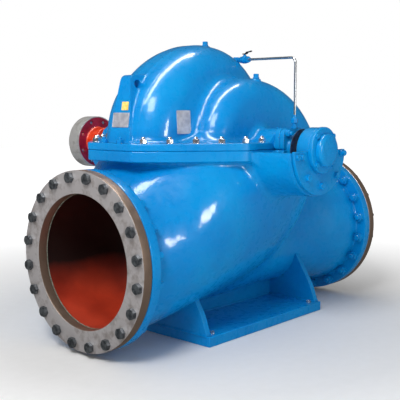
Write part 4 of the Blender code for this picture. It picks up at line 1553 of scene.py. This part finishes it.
def bent_path(start, corner, stop, radius, steps=10):
    """A straight run, a round bend and another straight run."""
    back = (start - corner).normalized()
    onward = (stop - corner).normalized()
    half = back.angle(onward) / 2
    reach = radius / math.tan(half)
    centre = corner + (back + onward).normalized() * radius / math.sin(half)
    first = (corner + back * reach - centre).normalized()
    last = (corner + onward * reach - centre).normalized()
    return [
        start, *[centre + first.slerp(last, step / steps) * radius for step in range(steps + 1)],
        stop,
    ]


for end, side in ENDS:
    axis_point, along, corner = flush_places(side)
    foot = Vector((TAPPING.x, side * TAPPING.y, TAPPING.z))
    socket = [
        set_on(hexagon(0.027, 0.009), foot, UP, 0.4),
        set_on(rod(0.0115, 0.0, 0.026, 32, 0.002), foot, UP),
        set_on(rod(0.0088, 0.0, 0.036, 28), axis_point, along),
        set_on(hexagon(0.020, 0.008), axis_point + along * 0.014, along, 0.2),
        set_on(stud(0.0080, 0.022, 0.040, 0.0025), axis_point, along),
    ]
    gathered("tapping_socket_" + end, socket, *PAINTED, stands_for=("flush_socket_" + end,))
    start = axis_point + along * VALVE_START
    length = VALVE_END - VALVE_START
    barrel = [
        (0.008, 0.0), (0.008, 0.0115), (0.016, 0.0120), (0.023, 0.0160), (length - 0.023, 0.0160),
        (length - 0.016, 0.0120), (length - 0.008, 0.0115), (length - 0.008, 0.0),
    ]
    stem_foot = axis_point + along * (VALVE_START + length / 2)
    ball_valve = [
        set_on(hexagon(0.024, 0.013), start + along * 0.013, -along, 0.5),
        set_on(hexagon(0.024, 0.013), start + along * (length - 0.013), along, 0.5),
        set_on(round_shape(barrel, 36, 0.002), start, along),
        set_on(rod(0.0075, 0.0, 0.018, 24, 0.001), stem_foot, UP),
        set_on(hexagon(0.010, 0.005), stem_foot + Vector((0, 0, 0.0165)), UP, 0.3),
    ]
    gathered("ball_valve_" + end, ball_valve, *PAINTED, stands_for=("flush_valve_" + end,))
    path = bent_path(
        axis_point + along * (VALVE_END - 0.004), corner, Vector((corner.x, corner.y, 0.872)), 0.025,
    )
    points, faces = tube_shape(path, 0.0050, 20)
    piece(
        "stainless_tube_" + end, points, faces, stainless, "machined_steel",
        stands_for=("flush_tube_" + end,),
    )
    seat = Vector((corner.x, corner.y, SHAFT_HEIGHT + GLAND_HEIGHT))
    cone = [
        (0.000, 0.0), (0.000, 0.0085), (0.018, 0.0085), (0.021, 0.0110), (0.038, 0.0110),
        (0.044, 0.0075), (0.052, 0.0070), (0.052, 0.0),
    ]
    fitting = [
        set_on(round_shape(cone, 28, 0.001), seat, UP),
        set_on(hexagon(0.020, 0.009), seat + Vector((0, 0, 0.001)), UP, 0.2),
        set_on(hexagon(0.024, 0.017), seat + Vector((0, 0, 0.022)), UP, 0.4),
    ]
    gathered("tube_fitting_" + end, fitting, *PAINTED, stands_for=("flush_fitting_" + end,))
    # The lever is a flat strip, cranked up from its eye
    pivot = stem_foot + Vector((0, 0, 0.0223))
    bend_line = [
        (-0.011, 0.0), (0.009, 0.0), (0.016, 0.002), (0.020, 0.006), (0.046, 0.0068),
        (0.052, 0.0090),
    ]
    ahead = Vector((along.x, along.y, 0)).normalized()
    sideways = Vector(UP).cross(ahead)
    strip = []
    for distance, height in bend_line:
        half = 0.0066 if distance < 0.03 else 0.0058
        for across, up in ((-half, 0.0), (half, 0.0), (half, 0.0036), (-half, 0.0036)):
            strip.append(pivot + ahead * distance + sideways * across + Vector((0, 0, height + up)))
    strip_faces = [(0, 1, 2, 3), tuple(len(strip) - 4 + corner_index for corner_index in range(4))]
    for row in range(len(bend_line) - 1):
        for step in range(4):
            onward = (step + 1) % 4
            strip_faces.append(
                (row * 4 + step, row * 4 + onward, row * 4 + 4 + onward, row * 4 + 4 + step)
            )
    lever_body = LEVER_BODY if side < 0 else BODY
    lever = piece(
        "dipped_lever_" + end, *outward(strip, strip_faces), lever_vinyl, "black_plastic",
        body=lever_body, stands_for=("flush_valve_lever_" + end,),
    )
    soften(lever, 0.0014, 3)

# %% [markdown]
# ## Plugs
#
# Threaded plugs close the vent on top of the volute, the vents of the two suction domes and the
# oil holes of the bearings. Each has a round collar under a hexagon.

# %% Plugs
def plug_shapes(point, along):
    collar = rod(0.0130, 0.0, 0.007, 32, 0.0015)
    return [
        set_on(collar, point, along),
        set_on(hexagon(0.019, 0.014), Vector(point) + Vector(along) * 0.006, along, 0.35),
    ]


gathered(
    "vent_hexagon_plug", plug_shapes((-0.010, 0, 1.1623), UP), *PAINTED, stands_for=("vent_plug",),
)
for end, side in ENDS:
    shapes = plug_shapes((0.040, side * 0.230, 1.0243), UP)
    gathered("dome_hexagon_plug_" + end, shapes, *PAINTED, stands_for=("dome_plug_" + end,))
    shapes = plug_shapes((0.140, side * 0.5703, 0.735), (0, side, 0))
    gathered("oil_hexagon_plug_" + end, shapes, *PAINTED, stands_for=("bearing_plug_" + end,))

# %% [markdown]
# ## Plates and label
#
# The rating plate on the suction lug and the direction plate on the volute's flank are stamped
# from aluminium sheet and held by four drive screws. They carry no lettering here: the rating
# plate has raised empty fields, and the other one a raised plain arrow for the sense of
# rotation. A small pale yellow label above the rating plate is bare too.

# %% Plates
PLATE_GAP = 0.0003
PLATE_SHEET = 0.0016


def sheet_on(name, foot, across, up, out, width, height, fields, surface, slot, **rest):
    """A sheet with rounded corners, raised shapes and rivets, set out along three directions."""

    def spot(a, b, level):
        return Vector(foot) + across * a + up * b + out * level

    outline = rounded_outline(oblong(width / 2, height / 2), 0.003, 4)
    shapes = [pulled(outline, PLATE_GAP, PLATE_GAP + PLATE_SHEET, spot)]
    for field in fields:
        shapes.append(
            pulled(field, PLATE_GAP + PLATE_SHEET - 0.0002, PLATE_GAP + PLATE_SHEET + 0.0004, spot)
        )
    shapes = [outward(*shape) for shape in shapes]
    rivet = round_shape(
        [(0.0, 0.0), (0.0, 0.0024), (0.0008, 0.0022), (0.0014, 0.0012), (0.0016, 0.0)], 16,
    )
    if rest.pop("rivets", True):
        for a in (-1, 1):
            for b in (-1, 1):
                place = spot(
                    a * (width / 2 - 0.005), b * (height / 2 - 0.005), PLATE_GAP + PLATE_SHEET,
                )
                shapes.append(set_on(rivet, place, out))
    return gathered(name, shapes, surface, slot, **rest)


def frame_bars(half_a, half_b, bar, centre=(0.0, 0.0)):
    """Four thin bars that frame an empty field."""
    a, b = centre
    return [
        oblong(half_a, bar / 2, (a, b - half_b)),
        oblong(half_a, bar / 2, (a, b + half_b)),
        oblong(bar / 2, half_b, (a - half_a, b)),
        oblong(bar / 2, half_b, (a + half_a, b)),
    ]


lug_base = Vector((SUCTION_LUG[0][0], 0, SHAFT_HEIGHT + 0.010))
lug_top = Vector((SUCTION_LUG[1][0], 0, SUCTION_LUG[2]))
lug_up = (lug_top - lug_base).normalized()
lug_out = lug_up.cross(Vector((0, 1, 0))).normalized()
lug_across = lug_up.cross(lug_out)


def on_lug(height, across):
    share = (height - lug_base.z) / (lug_top.z - lug_base.z)
    return lug_base.lerp(lug_top, share) + lug_across * across


rating_fields = frame_bars(0.041, 0.0235, 0.0008)
for row in range(3):
    rating_fields += frame_bars(0.030, 0.0042, 0.0006, (0.0, 0.012 - row * 0.012))
sheet_on(
    "rating_sheet", on_lug(0.862, 0.0), lug_across, lug_up, lug_out, 0.090, 0.055, rating_fields,
    sheet_aluminium, "plate_aluminium", stands_for=("rating_plate",),
)
toward_camera = -1 if lug_across.y > 0 else 1
sheet_on(
    "yellow_label", on_lug(0.914, 0.016 * toward_camera), lug_across, lug_up, lug_out, 0.036, 0.032,
    [], label_vinyl, "plate_aluminium", rivets=False,
)


def arrow_field():
    """A plain bent arrow."""
    inner, outer = 0.0165, 0.0215
    turns = [math.radians(20 + 130 * step / 12) for step in range(13)]
    ring = [(outer * math.cos(turn), outer * math.sin(turn)) for turn in turns]
    last = turns[-1]
    head = [
        (0.0265 * math.cos(last), 0.0265 * math.sin(last)),
        (0.0190 * math.cos(last + 0.55), 0.0190 * math.sin(last + 0.55)),
        (0.0115 * math.cos(last), 0.0115 * math.sin(last)),
    ]
    back = [(inner * math.cos(turn), inner * math.sin(turn)) for turn in reversed(turns)]
    return [(a, b - 0.006) for a, b in ring + head + back]


def flank_level(x, z):
    """The y of the volute's flank at the non-drive end."""
    levels = np.linspace(-0.32, -0.05, 2701)
    return float(levels[np.argmin(np.abs(volute(x, levels, z)))])


low, high = (Vector(corner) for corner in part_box("direction_plate"))
middle_x, middle_z = (low.x + high.x) / 2, (low.z + high.z) / 2
corner_levels = {
    (a, b): flank_level(middle_x + a * 0.030, middle_z + b * 0.040) for a in (-1, 1) for b in (
        -1, 1,
    )
}
lean_x = (corner_levels[1, 1] + corner_levels[1, -1] - corner_levels[-1, 1] - corner_levels[-1, -1]) / 4
lean_z = (corner_levels[1, 1] + corner_levels[-1, 1] - corner_levels[1, -1] - corner_levels[-1, -1]) / 4
across_plate = Vector((0.030, lean_x, 0.0)).normalized()
leaning = Vector((0.0, lean_z, 0.040))
up_plate = (leaning - across_plate * leaning.dot(across_plate)).normalized()
centre_level = min(sum(corner_levels.values()) / 4, flank_level(middle_x, middle_z)) - 0.0006
direction_fields = frame_bars(0.029, 0.040, 0.0008) + [arrow_field()]
sheet_on(
    "direction_sheet", (middle_x, centre_level, middle_z), across_plate, up_plate,
    across_plate.cross(up_plate), 0.066, 0.088, direction_fields, sheet_aluminium,
    "plate_aluminium", stands_for=("direction_plate",),
)
print("direction plate stands at y", round(centre_level, 4), "and the CAD's at", round(high.y, 4))

# %% [markdown]
# ## Pedestal
#
# The pump stands on a welded foot: a thick base plate, a cross wall under each end of the casing
# and a web between them. The walls are cut to the casing's underside, so their outlines are
# worked out from the casing's own cross-sections and run a little into it. Fillet welds join
# them, each drawn as a bead with the ripples that a welder leaves. A small screw stands near each
# corner of the base plate.

# %% Base plate, walls and web
PEDESTAL_LEFT = -0.300
PEDESTAL_RIGHT = 0.460
PEDESTAL_DEPTH = 0.283
PEDESTAL_PLATE = 0.040
PEDESTAL_WALL = 0.026
WALL_FOOT = (0.268, 0.0403)
WALL_KNEE = (0.240, 0.115)
WALL_TOP = (0.150, 0.262)
INTO_CASING = 0.008


def underside(x, y):
    """The lowest level of the casing at a place in plan."""
    levels = []
    for table, first, last in ((suction_table, -0.625, 0.48), (discharge_table, -0.30, 0.77)):
        half, low, middle, _ = [float(value) for value in table(x)]
        if first < x < last and abs(y) < half:
            levels.append(middle - (middle - low) * math.sqrt(1 - (y / half) ** 2))
    return min(levels) if levels else 1.0


def wall_outline(x):
    """Foot, knee, then up the slope to the casing and along its underside."""
    slope = [Vector(WALL_KNEE).lerp(Vector(WALL_TOP), step / 40) for step in range(41)]
    reached = next((point for point in slope if underside(x, point.x) < point.y), slope[-1])
    side = [WALL_FOOT, WALL_KNEE, (reached.x, reached.y)]
    steps = 16
    arch = []
    for step in range(1, steps):
        y = reached.x * (1 - 2 * step / steps)
        arch.append((y, min(underside(x, y), reached.y) + INTO_CASING))
    return side + arch + [(-a, b) for a, b in reversed(side)]


plate(
    "base_plate",
    [
        (PEDESTAL_LEFT, -PEDESTAL_DEPTH), (PEDESTAL_RIGHT, -PEDESTAL_DEPTH),
        (PEDESTAL_RIGHT, PEDESTAL_DEPTH), (PEDESTAL_LEFT, PEDESTAL_DEPTH),
    ],
    0.0, PEDESTAL_PLATE, *PAINTED, edge=0.003, stands_for=("pedestal_plate",),
)
for word, outer_x, inward in (("suction", PEDESTAL_LEFT, 1), ("discharge", PEDESTAL_RIGHT, -1)):
    near, far = sorted((outer_x, outer_x + inward * PEDESTAL_WALL))
    plate(
        "foot_wall_" + word, wall_outline(outer_x + inward * PEDESTAL_WALL / 2), near, far,
        *PAINTED, place=facing_x, edge=0.002, stands_for=("pedestal_wall_" + word,),
    )
web_places = np.linspace(
    PEDESTAL_LEFT + PEDESTAL_WALL - 0.004, PEDESTAL_RIGHT - PEDESTAL_WALL + 0.004, 24,
)
web_outline = [(float(x), underside(float(x), 0.0) + INTO_CASING) for x in web_places]
web_outline += [(float(web_places[-1]), PEDESTAL_PLATE), (float(web_places[0]), PEDESTAL_PLATE)]
plate(
    "foot_web", web_outline, -PEDESTAL_WALL / 2, PEDESTAL_WALL / 2, *PAINTED, place=facing_y,
    edge=0.0, stands_for=("pedestal_web",),
)


# %% Weld beads and holding-down screws
WELD_LEG = 0.008
RIPPLE = 0.10


def weld(start, stop):
    """A fillet bead along a corner, with ripples across it."""
    start, stop = Vector(start), Vector(stop)
    count = max(2, int((stop - start).length / 0.005))
    path = [start.lerp(stop, index / count) for index in range(count + 1)]
    points, faces = tube_shape(path, WELD_LEG * 0.72, 8)
    for index in range(len(points)):
        ripple = 1.0 + RIPPLE * math.sin(index // 8 * 2.1)
        centre = path[min(index // 8, len(path) - 1)]
        points[index] = centre + (points[index] - centre) * ripple
    return points, faces


beads = []
for outer_x, inward in ((PEDESTAL_LEFT, 1), (PEDESTAL_RIGHT, -1)):
    for x in (outer_x + inward * 0.001, outer_x + inward * (PEDESTAL_WALL - 0.001)):
        beads.append(weld((x, -0.266, PEDESTAL_PLATE), (x, 0.266, PEDESTAL_PLATE)))
for y in (-PEDESTAL_WALL / 2, PEDESTAL_WALL / 2):
    beads.append(
        weld(
            (PEDESTAL_LEFT + PEDESTAL_WALL, y, PEDESTAL_PLATE),
            (PEDESTAL_RIGHT - PEDESTAL_WALL, y, PEDESTAL_PLATE),
        )
    )
gathered("foot_weld_beads", beads, *PAINTED)
screws = []
for x in (PEDESTAL_LEFT + 0.050, PEDESTAL_RIGHT - 0.050):
    for y in (-PEDESTAL_DEPTH + 0.032, PEDESTAL_DEPTH - 0.032):
        screws.append(set_on(washer(0.006, 0.011, 0.002), (x, y, PEDESTAL_PLATE), UP))
        screws.append(set_on(hexagon(0.017, 0.008), (x, y, PEDESTAL_PLATE + 0.002), UP, any_turn()))
gathered("holding_down_screws", screws, bolt_zinc, "machined_steel")

# %% [markdown]
# ## Floor, light and view
#
# A pale floor runs into an even white surround, so the pump stands alone; the floor glows a
# little towards its far edge, so that no horizon shows, and isn't seen in reflections. One soft
# light from the upper left lights the pump, and the surround fills the shadows. Glossy paint also
# mirrors the room, and here the room is made for it: the surround is dark in reflections, and two
# lights show only there, a long skylight over the pump and a window beside it. They draw the
# bright band and the bright patch on the paint. The standard view keeps its clean blue.

# %% Plain floor and soft light
FLOOR_REACH = 14.0
GLOW_START = 0.9
GLOW_FULL = 3.0
GLOW_STRENGTH = 0.72
SURROUND_SEEN = 1.0
SURROUND_DIFFUSE = 0.50
SURROUND_GLOSSY = 0.07
# Each light: its name, place, target, size in metres, power in watts, and if it is only reflected
LIGHTS = (
    ("key", (-3.2, -1.4, 3.6), (0, 0, 0.7), (1.4, 1.4), 115, False),
    ("skylight", (-1.1, 0.05, 3.7), (-1.1, 0.05, 0.0), (4.8, 0.45), 170, True),
    ("window", (-0.45, -3.6, 1.15), (-0.40, -0.35, 0.5), (0.50, 0.75), 38, True),
)


def floor_finish():
    """Pale paper that glows towards its far edge, so that no horizon shows."""
    made, tree, shader, place = new_finish("pale_floor")
    fibres = noise(tree, place, 40, 4.0)
    join(tree, shader, "Base Color", blend(tree, fibres, "#ECECEC", "#F2F2F2"))
    shader.inputs["Roughness"].default_value = 0.8
    distance = add(tree, "ShaderNodeVectorMath", {"operation": "LENGTH"}, {0: place}).outputs[
        "Value"
    ]
    glow = spread(tree, distance, GLOW_START, GLOW_FULL, 0.0, GLOW_STRENGTH)
    shader.inputs["Emission Color"].default_value = linear("#FFFFFF")
    join(tree, shader, "Emission Strength", glow)
    return made


def add_floor():
    mesh = bpy.data.meshes.new("floor")
    corners = [
        (a * FLOOR_REACH, b * FLOOR_REACH, 0) for a, b in ((-1, -1), (1, -1), (1, 1), (-1, 1))
    ]
    mesh.from_pydata(corners, [], [(0, 1, 2, 3)])
    mesh.materials.append(floor_finish())
    floor = bpy.data.objects.new("floor", mesh)
    bpy.context.scene.collection.objects.link(floor)
    floor.visible_glossy = False


def area_light(name, place, target, size, power, only_reflected):
    data = bpy.data.lights.new(name, "AREA")
    data.shape = "RECTANGLE"
    data.size, data.size_y = size
    data.energy = power
    light = bpy.data.objects.new(name, data)
    bpy.context.scene.collection.objects.link(light)
    light.visible_diffuse = not only_reflected
    turn = (Vector(target) - Vector(place)).to_track_quat("-Z", "Y").to_matrix().to_4x4()
    light.matrix_world = Matrix.Translation(Vector(place)) @ turn


def light_by_ray(tree, seen, diffuse, glossy):
    """The surround's strength for the camera, for diffuse light and for reflections."""
    rays = add(tree, "ShaderNodeLightPath").outputs
    unseen = maths(tree, "MULTIPLY_ADD", rays["Is Glossy Ray"], glossy - diffuse, diffuse)
    return maths(tree, "MULTIPLY_ADD", rays["Is Camera Ray"], seen - diffuse, unseen)


add_floor()
world = bpy.data.worlds.new("studio")
bpy.context.scene.world = world
world.use_nodes = True
surround = world.node_tree.nodes["Background"]
surround.inputs["Color"].default_value = linear("#FFFFFF")
strength = light_by_ray(world.node_tree, SURROUND_SEEN, SURROUND_DIFFUSE, SURROUND_GLOSSY)
world.node_tree.links.new(strength, surround.inputs["Strength"])
bpy.context.scene.view_settings.view_transform = "Standard"
for light in LIGHTS:
    area_light(*light)
